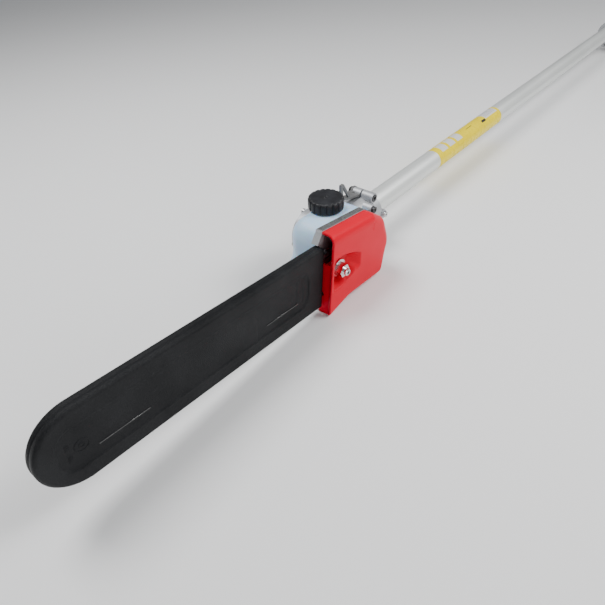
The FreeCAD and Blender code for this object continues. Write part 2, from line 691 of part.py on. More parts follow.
drive_links, tie_straps, cutters, rivets = [], [], [], []
for index in range(int(link_count.value)):
    centre = index * link_pitch.value
    rear, front = centre - pitch / 2, centre + pitch / 2
    after = front + pitch
    drive_links.append(placed(tang, rear, front))
    kind = index % 4
    if kind == 2:
        cutters.append(placed(far_cutter, front, after))
    else:
        tie_straps.append(placed(far_tie, front, after))
    if kind == 0:
        cutters.append(placed(near_cutter, front, after))
    else:
        tie_straps.append(placed(near_tie, front, after))
    rivets += [placed(rivet, at, at + 0.2) for at in (rear, front)]
for label, links in (("chain_drive_links", drive_links), ("chain_tie_straps", tie_straps),
                     ("chain_cutters", cutters), ("chain_rivets", rivets)):
    finish(solid_of(label + "_group", Part.makeCompound(links)), label, on_bar=True)

# ---------------------------------------------------------------- gear case
cover_corners = [(-63, -48, 0, 1), (-29, -38, 0, 1), (33, -38, -1, 1), (47, -8, -1, 0),
                 (30, 32, -1, -0.7), (9, 45, -0.3, -1), (-63, 48.5, 0, -1)]


def cover_outline(inset, front):
    """The outline that the flange and the sprocket cover share, drawn in by a distance."""
    corners = []
    for x, z, shift_x, shift_z in cover_corners:
        ahead = front if x < -60 else as_size(x) + as_size(inset) * shift_x
        corners.append((ahead, as_size(z) + as_size(inset) * shift_z))
    return corners


boss_place = (36, 32)
lid_places = [(0, 22.2), (19.2, -11.1), (-19.2, -11.1)]
pump_place = (-13.6, 7)
flange = new_body("flange")
pad(flange, outline(flange, "XZ", cover_outline(0, -cover_front), plate_back), rim_face - plate_back)
hollow = outline(flange, "XZ", cover_outline(rim_wide, -cover_front - 5), plate_face)
pocket(flange, hollow, rim_face - plate_face + 1)
chin = new_body("chin")
pad(chin, outline(chin, "XZ", [(-60, 35.4), (-69.5, 35.4), (-61.6, 48.5), (-60, 48.5)], plate_back),
    rim_face - plate_back)
bar_pad = new_body("bar_pad")
bar_back = bar_plane - bar_thick / 2
pad(bar_pad, outline(bar_pad, "XZ", [(-65.4, -13.5), (bar_tail, -13.5), (bar_tail, 12), (-65.4, 12)],
                     plate_back), bar_back - plate_back)
tab_y = -boom_radius - 0.4
case_solid = weld(
    rod("X", socket_radius, 0, socket_end), rod("Y", case_radius, -plate_face, case_far, (0, 0)),
    tilted(flange), tilted(chin), tilted(bar_pad),
    rod("Y", ear_radius, -16, 12, (clamp_back, clamp_up)),
    block((clamp_back - 6, -12, 10), (clamp_back + 6, 12, clamp_up)),
    rod("Y", 5.6, -37, -26, boss_place), block((28, -plate_face, 16), (36, -26, 31)),
    rod("Y", 5.4, -23, tab_y, (84, -2)), block((64, -20.4, -6), (84, -14.4, 2)),
    rod("Y", 5.0, -24, -12, (60, -15)))
channel = block((-59.5, -bar_back - 1, -tension_drop - 3.2), (-28, -plate_back - 0.6, -tension_drop + 3.2))
screw_y = -bar_back + 2.7
screw_hole = rod("X", 1.95, -63, -59, (screw_y, -tension_drop))
screw_seat = rod("X", 2.75, -70, -62, (screw_y, -tension_drop))
stud_hole = rod("Y", stud_radius, -45, -25, (-stud_front, -stud_drop))
gear_case = carve(
    case_solid, rod("X", boom_radius + 0.03, boom_start, socket_end + 12),
    rod("X", 13, 21.8, boom_start + 1), rod("X", 13.6, 0, 21.9),
    rod("Y", 19.6, -23, case_far + 1), rod("Y", 14, -31, -22.5), rod("Y", 12, -37, -30.5),
    block((51, -1, 12), (socket_end + 1, 1, 40)),
    rod("Y", 2.7, -17, 13, (clamp_back, clamp_up)), rod("Y", 4.6, -17, -12, (clamp_back, clamp_up)),
    rod("Y", 2.1, -45, -25, boss_place), rod("Y", 2.1, -24, -13, (84, -2)),
    tilted(fuse(channel, screw_hole, screw_seat, stud_hole)),
    *[rod("Y", 2.1, 17, 30, at) for at in lid_places], rod("Z", 4.6, 7, 16.1, pump_place),
    rod("Z", 1.6, 15, 30, pump_place))
finish(gear_case, "gear_case")

lid = turned("lid_turning", "Y", [(14.6, 14), (23, 14), (23, 12), (case_far, 12), (case_far, 0),
                                  (case_far + 3.5, 0), (case_far + 3.5, case_radius),
                                  (case_far, case_radius), (case_far, 19.5), (14.6, 19.5)])
finish(cut(lid, *[rod("Y", 2.2, 20, 40, at) for at in lid_places]), "case_lid")
lid_face = case_far + 3.5
lid_screws = [
    screw("lid_screw_{}".format(index), "Y", (at[0], 0, at[1]), 3.5, lid_face + 3.1, lid_face, 2.0, 18)
    for index, at in enumerate(lid_places)]
finish(fuse(*lid_screws), "lid_screws")
clamp_bolt = screw("clamp_bolt_turning", "Y", (clamp_back, 0, clamp_up), 4.25, -16.9, -12, 2.5, 18, 4)
finish(clamp_bolt, "clamp_bolt")
clamp_nut = cut(hexagon("Y", 8.6, 14.6, 18.4, (clamp_back, clamp_up)),
                rod("Y", 2.5, 14, 19, (clamp_back, clamp_up)))
finish(clamp_nut, "clamp_nut")
finish(screw("locating_screw_turning", "Y", (84, 0, -2), 3.6, -26, -23, 2.0, -15, 2.5), "locating_screw")
boss_screw = screw("boss_screw_turning", "Y", (boss_place[0], 0, boss_place[1]), 3.6, -40, -37, 2.0, -28, 3)
finish(boss_screw, "case_screw")

# ---------------------------------------------------------------- oil pump
pump_tube = cut(rod("Z", 4.6, 8, 16, pump_place), rod("Z", 3.0 + run_gap, 7, 15.4, pump_place))
finish(pump_tube, "oil_pump_barrel")
plunger = fuse(rod("Z", 3.0, -9, 15, pump_place), rod("Z", 4.9, -3, 5, pump_place))
finish(plunger, "oil_pump_plunger")

# ---------------------------------------------------------------- bar fixings
stud_place = (-stud_front, 0, -stud_drop)
stud_shape = turned("stud_turning", "Y", [
    (-plate_back - 0.1, 0), (-plate_back - 0.1, stud_radius), (-cover_face - 1.5, stud_radius),
    (-cover_face - 2.3, stud_radius - 0.8), (-cover_face - 2.3, 0)])
stud = move(stud_shape, *stud_place)
stud_key = hexagon("Y", 4, -cover_face - 3, -cover_face + 1.5, (-stud_front, -stud_drop))
finish(cut(stud, stud_key), "bar_stud", on_bar=True)
nut_start = pocket_face + 0.02
nut_flange = rod("Y", nut_washer, -nut_start - 1.8, -nut_start, (-stud_front, -stud_drop))
nut_hex = hexagon("Y", 13, -nut_start - 9, -nut_start - 1.8, (-stud_front, -stud_drop))
nut_bore = rod("Y", stud_radius, -70, -40, (-stud_front, -stud_drop))
finish(cut(fuse(nut_flange, nut_hex), nut_bore), "bar_nut", on_bar=True)

tension_screw = turned("tension_turning", "X", [
    (-65, 0), (-65, 2.6), (-62.1, 2.6), (-62.1, 1.8), (-59.3, 1.8), (-59.3, 2.6), (-57.6, 2.6),
    (-57.6, 1.8), (-30, 1.8), (-30, 0)])
slot_cut = block((-66, -0.5, -4), (-64, 0.5, 4))
finish(move(cut(tension_screw, slot_cut), 0, screw_y, -tension_drop), "tension_screw", on_bar=True)
tension_block = fuse(
    block((tension_x - 3.5, -bar_back + 0.1, -tension_drop - 3), (tension_x + 3.5, -plate_back - 0.7,
                                                                 -tension_drop + 3)),
    rod("Y", 1.95, -bar_plane - 1.6, -bar_back + 0.2, (tension_x, -tension_drop)))
tension_bore = rod("X", 1.8 + run_gap, tension_x - 6, tension_x + 6, (screw_y, -tension_drop))
finish(cut(tension_block, tension_bore), "tension_block", on_bar=True)

# ---------------------------------------------------------------- sprocket cover
shell = new_body("cover_shell")
pad(shell, outline(shell, "XZ", cover_outline(0, -cover_front), rim_face + 0.05),
    cover_face - rim_face)


def outer_face_edge(edge):
    box = edge.BoundBox
    on_face = abs(box.YMin + cover_face.value + 0.05) < 0.1 and box.YLength < 0.1
    return on_face and not (box.XMax < -cover_front.value + 0.1)


def corner_edge(edge):
    box = edge.BoundBox
    return along(edge, "Y") and box.XMin > -40


round_edges(shell, 9, corner_edge)
round_edges(shell, 8, outer_face_edge)
room = new_body("cover_room")
pad(room, outline(room, "XZ", cover_outline(cover_wall, -cover_front - 6), rim_face - 1),
    cover_face - rim_face - cover_wall + 1)
round_edges(room, 6.5, corner_edge)
pocket_front = -cover_front.value + cover_wall.value
floor_corners = [(pocket_front, 11), (-26, 9), (-26, -13), (pocket_front, -13.4)]
mouth_corners = [(pocket_front, 22.5), (-14, 10.5), (-13.5, -8), (pocket_front, -17.5)]


def cup_loft(spread, floor_level, mouth_level):
    """The nut pocket's shape between its floor and its mouth, made larger by a wall's thickness."""
    wires = []
    for corners, level in ((floor_corners, floor_level), (mouth_corners, mouth_level)):
        loop_points = []
        for x, z in corners:
            ahead = -cover_front.value if spread and x == pocket_front else x + spread
            loop_points.append(Vector(ahead, -level, z + math.copysign(spread, z)))
        wires.append(Part.makePolygon(loop_points + loop_points[:1]))
    return Part.makeLoft(wires, True, True)


bar_front = bar_plane.value + bar_thick.value / 2
wall = cover_wall.value - 0.3
cup = solid_of("cup_outside", cup_loft(wall, bar_front + 0.05, cover_face.value - 2))
floor = pocket_face.value
cup_hollow = solid_of("cup_inside", cup_loft(0, floor, cover_face.value + 0.1))
cup_stud = rod("Y", stud_radius + 0.2, -60, -40, (-stud_front, -stud_drop))
front_wall = block((-cover_front, -cover_face - 0.02, -41), (-cover_front + cover_wall, -bar_plane - 3.7, 13))
finish(cut(weld(cut(shell, room), cup, front_wall), cup_hollow, cup_stud), "sprocket_cover", on_bar=True)

# ---------------------------------------------------------------- bar scabbard
half_high = scabbard_high / 2
tip_centre = half_high - scabbard_tip


def scabbard_body(name, shrink, open_end):
    """A flat sleeve with a half-round tip, drawn in by a distance on every side."""
    body = new_body(name)
    half = half_high - shrink
    deep = scabbard_thick - shrink * 2
    level = bar_plane - scabbard_thick / 2 + shrink
    up, down = half - scabbard_drop, -half - scabbard_drop
    pad(body, outline(body, "XZ", [(open_end, down), (open_end, up), (tip_centre, up),
                                   (tip_centre, down)], level), deep)
    pad(body, circle(body, "XZ", (tip_centre, -scabbard_drop), half, level), deep)
    return body


def long_edge(edge):
    box = edge.BoundBox
    return box.YLength < 0.1 and box.XMax < -scabbard_start.value + 60 and box.XLength > 20


skin = scabbard_body("scabbard_skin", 0, -scabbard_start)
round_edges(skin, 4, long_edge)
room = scabbard_body("scabbard_room", scabbard_wall, 0)
round_edges(room, 2.5, lambda edge: edge.BoundBox.YLength < 0.1 and edge.BoundBox.XLength > 20)
finish(cut(skin, room), "scabbard", on_bar=True)

# ---------------------------------------------------------------- oil tank


def tank_body(name, shrink):
    """The tank's outside, or its inside when drawn in by the wall, clear of the case below it."""
    body = new_body(name)
    near = plate_back - gap
    top = tank_top - shrink
    front, rear = -tank_front + shrink, tank_rear - shrink
    pad(body, outline(body, "XZ", [(front, -18 + shrink), (front, top), (4, top), (24, 33.5 - shrink),
                                   (rear, 27 - shrink), (rear, 10), (-20, 10), (-24, -18 + shrink)],
                      -tank_far + shrink), tank_far + near - shrink * 2)
    return body


def tank_edge(edge):
    box = edge.BoundBox
    corner = along(edge, "Y") and (box.XMax < -tank_front.value + 3 or box.ZMin > 20)
    return corner


def tank_rim(edge):
    box = edge.BoundBox
    return box.YMin > tank_far.value - 3 and box.YLength < 0.1 and (box.ZMax > 25 or box.XMax < -40)


tank_skin = tank_body("tank_skin", 0)
round_edges(tank_skin, 14, tank_edge)
round_edges(tank_skin, 11, tank_rim)
tank_room = tank_body("tank_room", tank_wall)
round_edges(tank_room, 6, tank_edge)
neck_place = (-neck_x, -neck_y)
case_clear = fuse(rod("Y", case_radius + gap, -60, 40), rod("X", socket_radius + gap, 0, 90))
case_room = fuse(rod("Y", case_radius + gap + tank_wall, -60, 40),
                 rod("X", socket_radius + gap + tank_wall, 0, 90))
tank = cut(fuse(tank_skin, rod("Z", neck_radius, tank_top - 2, neck_top, neck_place)),
           case_clear, block((26, -34, 8), (45, -24.5, 41)),
           cut(tank_room, case_room, block((24, -34, 6), (45, -22.5, 41))),
           rod("Z", neck_radius - 2.4, tank_top - 6, neck_top + 1, neck_place))
finish(tank, "oil_tank")
pickup_place = (-44, -10)
finish(fuse(rod("Z", 5, -14, 0, pickup_place), rod("Z", 2.4, 0, 20, pickup_place)), "oil_pickup")

gasket_base = neck_top + 0.1
gasket = ring("gasket_ring", "Z", gasket_base, gasket_base + 1.8, neck_radius - 2.6, neck_radius + 0.6)
finish(move(gasket, -neck_x, -neck_y), "cap_gasket")
cap = turned("cap_turning", "Z", [
    (cap_top - 1.2, 0), (cap_top, 4), (cap_top, cap_radius - 2.5), (cap_top - 1.8, cap_radius - 0.8),
    (cap_base + 2, cap_radius), (cap_base, cap_radius - 0.5), (cap_base, neck_radius + 1),
    (gasket_base + 1.9, neck_radius + 1), (gasket_base + 1.9, 0)])
flutes = []
for index in range(12):
    angle = 2 * math.pi * index / 12
    groove = Part.makeCylinder(2.6, 16, Vector((cap_radius.value + 1.4) * math.cos(angle),
                                               (cap_radius.value + 1.4) * math.sin(angle),
                                               cap_base.value - 2), AXIS["Z"])
    flutes.append(groove)
flute_tool = solid_of("cap_flutes", Part.makeCompound(flutes))
finish(move(cut(cap, flute_tool), -neck_x, -neck_y), "tank_cap")

# ---------------------------------------------------------------- hanging bracket
eye = new_body("eye")
pad(eye, outline(eye, "XZ", [(28, 32.4), (66, 22.6), (66, 25), (47, 30), (33, 52), (28, 52)], -3.5), 3)
pocket(eye, outline(eye, "XZ", [(32, 34.4), (42.6, 31.6), (32, 48.5)], -4), 4)
strap = new_body("strap")
pad(strap, outline(strap, "XZ", [(28, 32.4), (66, 22.6), (66, 25), (28, 34.8)], -9), 8.4)
ear_plate = cut(rod("Y", 6.5, 12.1, 14.5, (clamp_back, clamp_up)),
                rod("Y", 2.7, 11, 16, (clamp_back, clamp_up)))
arm = cut(block((58, 9, 22.3), (clamp_back - 3, 14.5, 26.5)), rod("Y", ear_radius + 0.1, 0, 12.05,
                                                               (clamp_back, clamp_up)),
          rod("Y", 2.7, 0, 16, (clamp_back, clamp_up)))
bracket = cut(fuse(eye, strap, ear_plate, arm), rod("X", socket_radius + 0.05, 0, 90),
              rod("Y", ear_radius + 0.1, -16, 12.05, (clamp_back, clamp_up)),
              block((clamp_back - 6.2, -12, 10), (clamp_back + 6.1, 12.05, clamp_up)))
finish(bracket, "hanging_bracket")

# ---------------------------------------------------------------- tube lock
lock_mid = pole_mouth + 19
lock_front, lock_rear = lock_mid - collar_length / 2, lock_mid + collar_length / 2
collar = cut(
    fuse(rod("X", collar_radius, lock_front, lock_rear),
         block((lock_mid - 10, -8, -lock_drop - 6.5), (lock_mid + 10, 8, -10))),
    rod("X", pole_radius + 0.02, pole_mouth, lock_rear + 1),
    rod("X", boom_radius + 0.4, lock_front - 1, pole_mouth + 1),
    rod("X", pole_radius + 0.02, pole_mouth - 3.1, pole_mouth + 1),
    block((lock_front - 1, -1.2, -lock_drop - 8), (lock_rear + 1, 1.2, -boom_radius)),
    rod("Y", 2.6, -9, 9, (lock_mid, -lock_drop)))
finish(collar, "lock_collar")
lock_screw = fuse(rod("Y", 2.5, -15, 9.5, (lock_mid, -lock_drop)),
                  rod("X", 3.2, lock_mid - 8, lock_mid + 8, (-14, -lock_drop)))
finish(lock_screw, "lock_bolt")
lock_nut = cut(hexagon("Y", 8, 8, 12, (lock_mid, -lock_drop)), rod("Y", 2.5, 7, 13, (lock_mid, -lock_drop)))
finish(lock_nut, "lock_nut")
lever_width = 7.5
cam = rod("X", 5.9, lock_mid - lever_width, lock_mid + lever_width, (-14, -lock_drop))
arc_outer = rod("X", 28.5, lock_mid - lever_width, lock_mid + lever_width)
arc_inner = rod("X", 24.2, lock_mid - 20, lock_mid + 20)
keep = block((lock_mid - 20, -40, -lock_drop + 3.5), (lock_mid + 20, -14.5, 9))
sector = document.addObject("Part::Common", "lever_sector")
sector.Base = cut(arc_outer, arc_inner)
sector.Tool = keep
lever = cut(fuse(cam, sector), rod("X", 3.2 + run_gap, lock_mid - 30, lock_mid + 30, (-14, -lock_drop)),
            block((lock_mid - 3, -13.9, -lock_drop - 8), (lock_mid + 3, -5, -lock_drop + 3)),
            block((lock_mid - 3, -22, -lock_drop - 8), (lock_mid + 3, -5, -lock_drop + 2.6)))
finish(lever, "lock_lever")

# ---------------------------------------------------------------- check and write
document.recompute()
for thing in document.Objects:
    if "Invalid" in thing.State or "Error" in thing.State:
        raise RuntimeError("{} ({}) did not build: {}".format(thing.Name, thing.Label, thing.State))
os.makedirs("parts", exist_ok=True)
for node in nodes:
    shape = node.Shape
    if shape.isNull() or not shape.isValid() or not shape.Solids:
        raise RuntimeError("{} has no valid solid".format(node.Label))
    shape.exportStep("parts/{}.step".format(node.Label))
    print("{:28s} solids {:3d}  volume {:10.1f}".format(node.Label, len(shape.Solids), shape.Volume))
print(len(nodes), "nodes")
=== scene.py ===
import json
import math

import bmesh
import bpy
import numpy as np
from mathutils import Matrix, Vector


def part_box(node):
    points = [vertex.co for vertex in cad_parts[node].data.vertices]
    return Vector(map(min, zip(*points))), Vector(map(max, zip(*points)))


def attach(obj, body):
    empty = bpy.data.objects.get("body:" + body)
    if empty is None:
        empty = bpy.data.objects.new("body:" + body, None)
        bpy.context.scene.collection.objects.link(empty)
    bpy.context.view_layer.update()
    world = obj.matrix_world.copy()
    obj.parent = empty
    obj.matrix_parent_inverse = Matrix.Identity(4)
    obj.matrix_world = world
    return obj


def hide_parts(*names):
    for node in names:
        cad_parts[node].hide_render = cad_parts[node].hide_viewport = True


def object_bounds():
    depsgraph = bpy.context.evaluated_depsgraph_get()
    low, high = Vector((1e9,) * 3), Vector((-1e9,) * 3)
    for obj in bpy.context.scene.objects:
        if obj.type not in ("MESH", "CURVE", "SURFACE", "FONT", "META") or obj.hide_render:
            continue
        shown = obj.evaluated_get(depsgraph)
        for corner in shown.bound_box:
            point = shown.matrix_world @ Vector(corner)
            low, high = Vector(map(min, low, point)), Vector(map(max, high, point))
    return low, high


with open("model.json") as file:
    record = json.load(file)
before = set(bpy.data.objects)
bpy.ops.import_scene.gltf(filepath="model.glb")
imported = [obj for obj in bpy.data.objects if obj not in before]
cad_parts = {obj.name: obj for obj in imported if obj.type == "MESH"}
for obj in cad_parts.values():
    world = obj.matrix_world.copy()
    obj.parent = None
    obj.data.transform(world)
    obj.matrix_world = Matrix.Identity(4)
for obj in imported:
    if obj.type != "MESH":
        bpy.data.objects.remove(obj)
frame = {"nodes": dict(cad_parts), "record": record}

CAD_BOX = [list(map(float, corner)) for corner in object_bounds()]
nodes = frame["nodes"]

# ---------------------------------------------------------------- the view and the room
# The saw head rests low on a pale floor. The camera looks down on the cover side of the head,
# along the bar, so that the pole runs away to the upper right.
REACH = 1.7
PITCH = math.radians(4.8)


def head(x, y, z):
    """A point given in millimetres in the head's frame, in metres in the pole's frame."""
    return Vector((x / 1000 - REACH, y / 1000, z / 1000))


eye_place = head(-381.6, -300.9, 322.2)
heading, drop, roll = math.radians(41.94), math.radians(40.79), math.radians(-3.03)
forward = Vector((math.cos(drop) * math.cos(heading), math.cos(drop) * math.sin(heading), -math.sin(drop)))
level = Vector((math.sin(heading), -math.cos(heading), 0))
above = level.cross(forward)
right = level * math.cos(roll) + above * math.sin(roll)
upward = above * math.cos(roll) - level * math.sin(roll)
camera = bpy.data.objects.new("camera", bpy.data.cameras.new("camera"))
bpy.context.scene.collection.objects.link(camera)
camera.data.sensor_width = 36
camera.data.lens = 30.1448
camera.data.clip_start = 0.01
camera.matrix_world = Matrix((right, upward, -forward)).transposed().to_4x4()
camera.location = eye_place
bpy.context.scene.camera = camera


def mesh_object(name, points, faces, smooth=True):
    """Puts an array of points and a list of faces into a new object at the origin."""
    mesh = bpy.data.meshes.new(name)
    mesh.from_pydata(np.asarray(points, float).reshape(-1, 3).tolist(), [], faces)
    mesh.update()
    if smooth:
        mesh.shade_smooth()
    made = bpy.data.objects.new(name, mesh)
    bpy.context.scene.collection.objects.link(made)
    return made


class Wire:
    """A value in a material's node tree; sums and products of it add Math nodes."""

    def __init__(self, finish, socket):
        self.finish = finish
        self.socket = socket

    def math(self, operation, first, second):
        return self.finish.add("Math", {"operation": operation}, {0: first, 1: second})

    def __add__(self, other):
        return self.math("ADD", self, other)

    def __radd__(self, other):
        return self.math("ADD", other, self)

    def __sub__(self, other):
        return self.math("SUBTRACT", self, other)

    def __rsub__(self, other):
        return self.math("SUBTRACT", other, self)

    def __mul__(self, other):
        return self.math("MULTIPLY", self, other)

    def __rmul__(self, other):
        return self.math("MULTIPLY", other, self)

    def __truediv__(self, other):
        return self.math("DIVIDE", self, other)

    def below(self, other):
        return self.math("LESS_THAN", self, other)

    def above(self, other):
        return self.math("GREATER_THAN", self, other)

    def size(self):
        return self.math("ABSOLUTE", self, 0.0)


class Finish:
    """A surface finish: one material with its shader, built node by node."""

    def __init__(self, name, **constants):
        self.material = bpy.data.materials.new(name)
        self.material.use_nodes = True
        self.tree = self.material.node_tree
        self.shader = self.tree.nodes["Principled BSDF"]
        for socket, value in constants.items():
            self.shader.inputs[socket.replace("_", " ")].default_value = value
        self.place = self.add("TexCoord", {}, {}, "Object")

    def add(self, kind, settings, sockets, output=0):
        """Adds a node: its settings first, then the values or links of its sockets."""
        node = self.tree.nodes.new("ShaderNode" + kind)
        for name, value in settings.items():
            if name == "stops":
                ramp = node.color_ramp.elements
                while len(ramp) < len(value):
                    ramp.new(0.5)
                for element, (position, colour) in zip(ramp, value):
                    element.position = position
                    element.color = colour
            else:
                setattr(node, name, value)
        for socket, value in sockets.items():
            if isinstance(value, Wire):
                self.tree.links.new(value.socket, node.inputs[socket])
            else:
                node.inputs[socket].default_value = value
        return Wire(self, node.outputs[output])

    def feed(self, socket, wire):
        self.tree.links.new(wire.socket, self.shader.inputs[socket])

    def stretched(self, x, y, z):
        """Object coordinates scaled along each axis, for patterns that run one way."""
        return self.add("Mapping", {}, {"Vector": self.place, "Scale": (x, y, z)})

    def noise(self, scale, detail=3.0, where=None, roughness=0.5):
        return self.add("TexNoise", {}, {"Vector": where or self.place, "Scale": scale, "Detail": detail,
                                         "Roughness": roughness}, "Fac")

    def ramp(self, wire, *stops):
        return self.add("ValToRGB", {"stops": stops}, {"Fac": wire}, "Color")

    def mix(self, amount, first, second):
        return self.add("Mix", {"data_type": "RGBA"}, {0: amount, 6: first, 7: second}, 2)

    def bump(self, height, strength, distance):
        sockets = {"Height": height, "Strength": strength, "Distance": distance}
        bumped = self.add("Bump", {}, sockets, "Normal")
        self.feed("Normal", bumped)


def grey(value, tint=(1, 1, 1)):
    return (value * tint[0], value * tint[1], value * tint[2], 1)


def clad(finish, *pieces):
    """Gives pieces a finish in place of the plain one they came with."""
    for piece in pieces:
        piece.data.materials.clear()
        piece.data.materials.append(finish.material)


FLOOR_LEVEL = CAD_BOX[0][2] - 0.0004
floor_side = 14.0
floor = mesh_object("floor", [(-floor_side, -floor_side, FLOOR_LEVEL), (floor_side, -floor_side, FLOOR_LEVEL),
                              (floor_side, floor_side, FLOOR_LEVEL), (-floor_side, floor_side, FLOOR_LEVEL)],
                    [(0, 1, 2, 3)])
pale = Finish("pale_floor", Roughness=0.9)
pale.feed("Base Color", pale.ramp(pale.noise(0.6), (0.3, grey(0.86)), (0.7, grey(0.89))))
clad(pale, floor)
world = bpy.data.worlds.new("room")
bpy.context.scene.world = world
world.use_nodes = True
world.node_tree.nodes["Background"].inputs[0].default_value = (0.93, 0.96, 1.0, 1)
world.node_tree.nodes["Background"].inputs[1].default_value = 0.24


def soft_light(name, place, aim, side, power):
    """A large square lamp that points at a place on the saw."""
    lamp = bpy.data.objects.new(name, bpy.data.lights.new(name, "AREA"))
    lamp.data.size = side
    lamp.data.energy = power
    lamp.location = place
    lamp.rotation_euler = (Vector(aim) - Vector(place)).to_track_quat("-Z", "Y").to_euler()
    bpy.context.scene.collection.objects.link(lamp)


head_middle = head(-80, -20, 0)
soft_light("window", head(-250, 500, 1200), head_middle, 0.6, 15)
soft_light("fill", head(-500, -1300, 500), head_middle, 0.8, 6)
soft_light("glint", head(500, -700, 900), head(-220, -20, 0), 0.4, 9)
soft_light("far_end", head(1500, -800, 1500), head(1000, 0, 0), 1.0, 14)


# ---------------------------------------------------------------- pole tubes
# Two drawn aluminium tubes, the boom sliding in the outer pole. Drawing leaves fine lines along
# them, and satin anodising gives a soft pale sheen.
drawn = Finish("satin_anodised_tube", Metallic=0.45)
draw_lines = drawn.noise(60.0, 4.0, drawn.stretched(0.03, 5.0, 5.0))
handling = drawn.noise(9.0, 4.0)
drawn.feed("Base Color", drawn.ramp(draw_lines * 0.6 + handling * 0.4,
                                    (0.3, grey(0.70, (0.97, 1.0, 0.97))),
                                    (0.7, grey(0.82, (0.98, 1.0, 0.98)))))
drawn.feed("Roughness", 0.34 + draw_lines * 0.16 + handling * 0.06)
drawn.bump(draw_lines, 0.12, 0.0002)
clad(drawn, nodes["inner_tube"], nodes["outer_tube"])

# ---------------------------------------------------------------- pole lock and the pole's plastic parts
# A split aluminium collar pinched by a bolt and a cam lever. The black bushes at the mouth, in the
# tubes and along the shafts are turned from nylon.
nylon = Finish("black_nylon")
nylon_grain = nylon.noise(900.0, 2.0)
nylon.feed("Base Color", nylon.ramp(nylon_grain, (0.35, grey(0.018)), (0.7, grey(0.034))))
nylon.feed("Roughness", 0.42 + nylon_grain * 0.2)
nylon.bump(nylon_grain, 0.25, 0.0001)
clad(nylon, nodes["mouth_bush"], nodes["tube_guide"], nodes["shaft_bushes"])
lever_red = Finish("lever_moulding", Coat_Weight=0.15, Coat_Roughness=0.25)
lever_grain = lever_red.noise(700.0, 3.0)
lever_red.feed("Base Color", lever_red.ramp(lever_grain, (0.3, (0.55, 0.035, 0.03, 1)),
                                            (0.7, (0.66, 0.05, 0.04, 1))))
lever_red.feed("Roughness", 0.34 + lever_grain * 0.15)
lever_red.bump(lever_grain, 0.2, 0.0001)
clad(lever_red, nodes["lock_lever"])

# ---------------------------------------------------------------- aluminium castings
# The gear case with its flange and clamp socket, its lid, the lock collar and the end spigot are
# die cast and shot blasted, which leaves a fine even speckle over slow grey clouds.
cast = Finish("blasted_casting", Metallic=0.75)
speckle = cast.noise(1500.0, 2.0)
cloud = cast.noise(45.0, 4.0)
cast.feed("Base Color", cast.ramp(speckle * 0.55 + cloud * 0.45,
                                  (0.32, grey(0.40, (0.97, 0.99, 1.03))),
                                  (0.68, grey(0.62, (0.97, 0.99, 1.02)))))
cast.feed("Roughness", 0.42 + speckle * 0.22)
cast.bump(speckle, 0.5, 0.00012)
clad(cast, nodes["gear_case"], nodes["case_lid"], nodes["lock_collar"], nodes["end_spigot"])

# ---------------------------------------------------------------- shafts, gears and bearings
# Ground and turned steel under a film of grease, with bronze where a shaft runs in a bush. Turning
# marks are fine and close, and the grease darkens them in patches.
turned_steel = Finish("turned_steel", Metallic=1.0)
tool_marks = turned_steel.noise(2400.0, 2.0, turned_steel.stretched(1.0, 0.12, 0.12))
grease = turned_steel.noise(120.0, 4.0)
turned_steel.feed("Base Color", turned_steel.ramp(grease, (0.3, grey(0.42, (0.99, 1, 1.03))),
                                                  (0.62, grey(0.64))))
turned_steel.feed("Roughness", 0.2 + tool_marks * 0.14 + grease * 0.1)
turned_steel.bump(tool_marks, 0.15, 0.00005)
steel_parts = [entry["node"] for entry in frame["record"]["subparts"] if entry["material_slot"] == "steel"]
clad(turned_steel, *[nodes[name] for name in steel_parts])
sintered = Finish("sintered_bronze", Metallic=0.9)
pores = sintered.noise(1800.0, 3.0)
sintered.feed("Base Color", sintered.ramp(pores, (0.35, (0.30, 0.19, 0.08, 1)),
                                          (0.6, (0.60, 0.42, 0.20, 1))))
sintered.feed("Roughness", 0.35 + pores * 0.25)
sintered.bump(pores, 0.35, 0.0001)
clad(sintered, nodes["sleeve_bushes"], nodes["oil_pump_barrel"])
moulded_rubber = Finish("moulded_rubber")
rubber_bloom = moulded_rubber.noise(260.0, 4.0)
moulded_rubber.feed("Base Color", moulded_rubber.ramp(rubber_bloom, (0.3, grey(0.02)), (0.75, grey(0.04))))
moulded_rubber.feed("Roughness", 0.6 + rubber_bloom * 0.2)
clad(moulded_rubber, nodes["shaft_seal"], nodes["oil_pickup"], nodes["cap_gasket"])

# ---------------------------------------------------------------- dark and bright fasteners
# The clamp bolt, its nut, the case screw and the sprocket's clip are blackened steel. The bar nut
# and its stud are plated bright, with the faint orange peel that thick plate has.
blackened = Finish("blackened_steel", Metallic=0.6)
black_patches = blackened.noise(300.0, 4.0)
blackened.feed("Base Color", blackened.ramp(black_patches, (0.3, grey(0.03)),
                                            (0.7, grey(0.075, (1, 1.03, 1.1)))))
blackened.feed("Roughness", 0.32 + black_patches * 0.2)
clad(blackened, nodes["clamp_nut"], nodes["clamp_bolt"], nodes["case_screw"], nodes["sprocket_clip"])
plated = Finish("bright_plate", Metallic=1.0)
peel = plated.noise(500.0, 2.0)
plated.feed("Base Color", plated.ramp(peel, (0.3, grey(0.72)), (0.7, grey(0.84))))
plated.feed("Roughness", 0.08 + peel * 0.12)
plated.bump(peel, 0.1, 0.0001)
clad(plated, nodes["bar_nut"], nodes["bar_stud"])

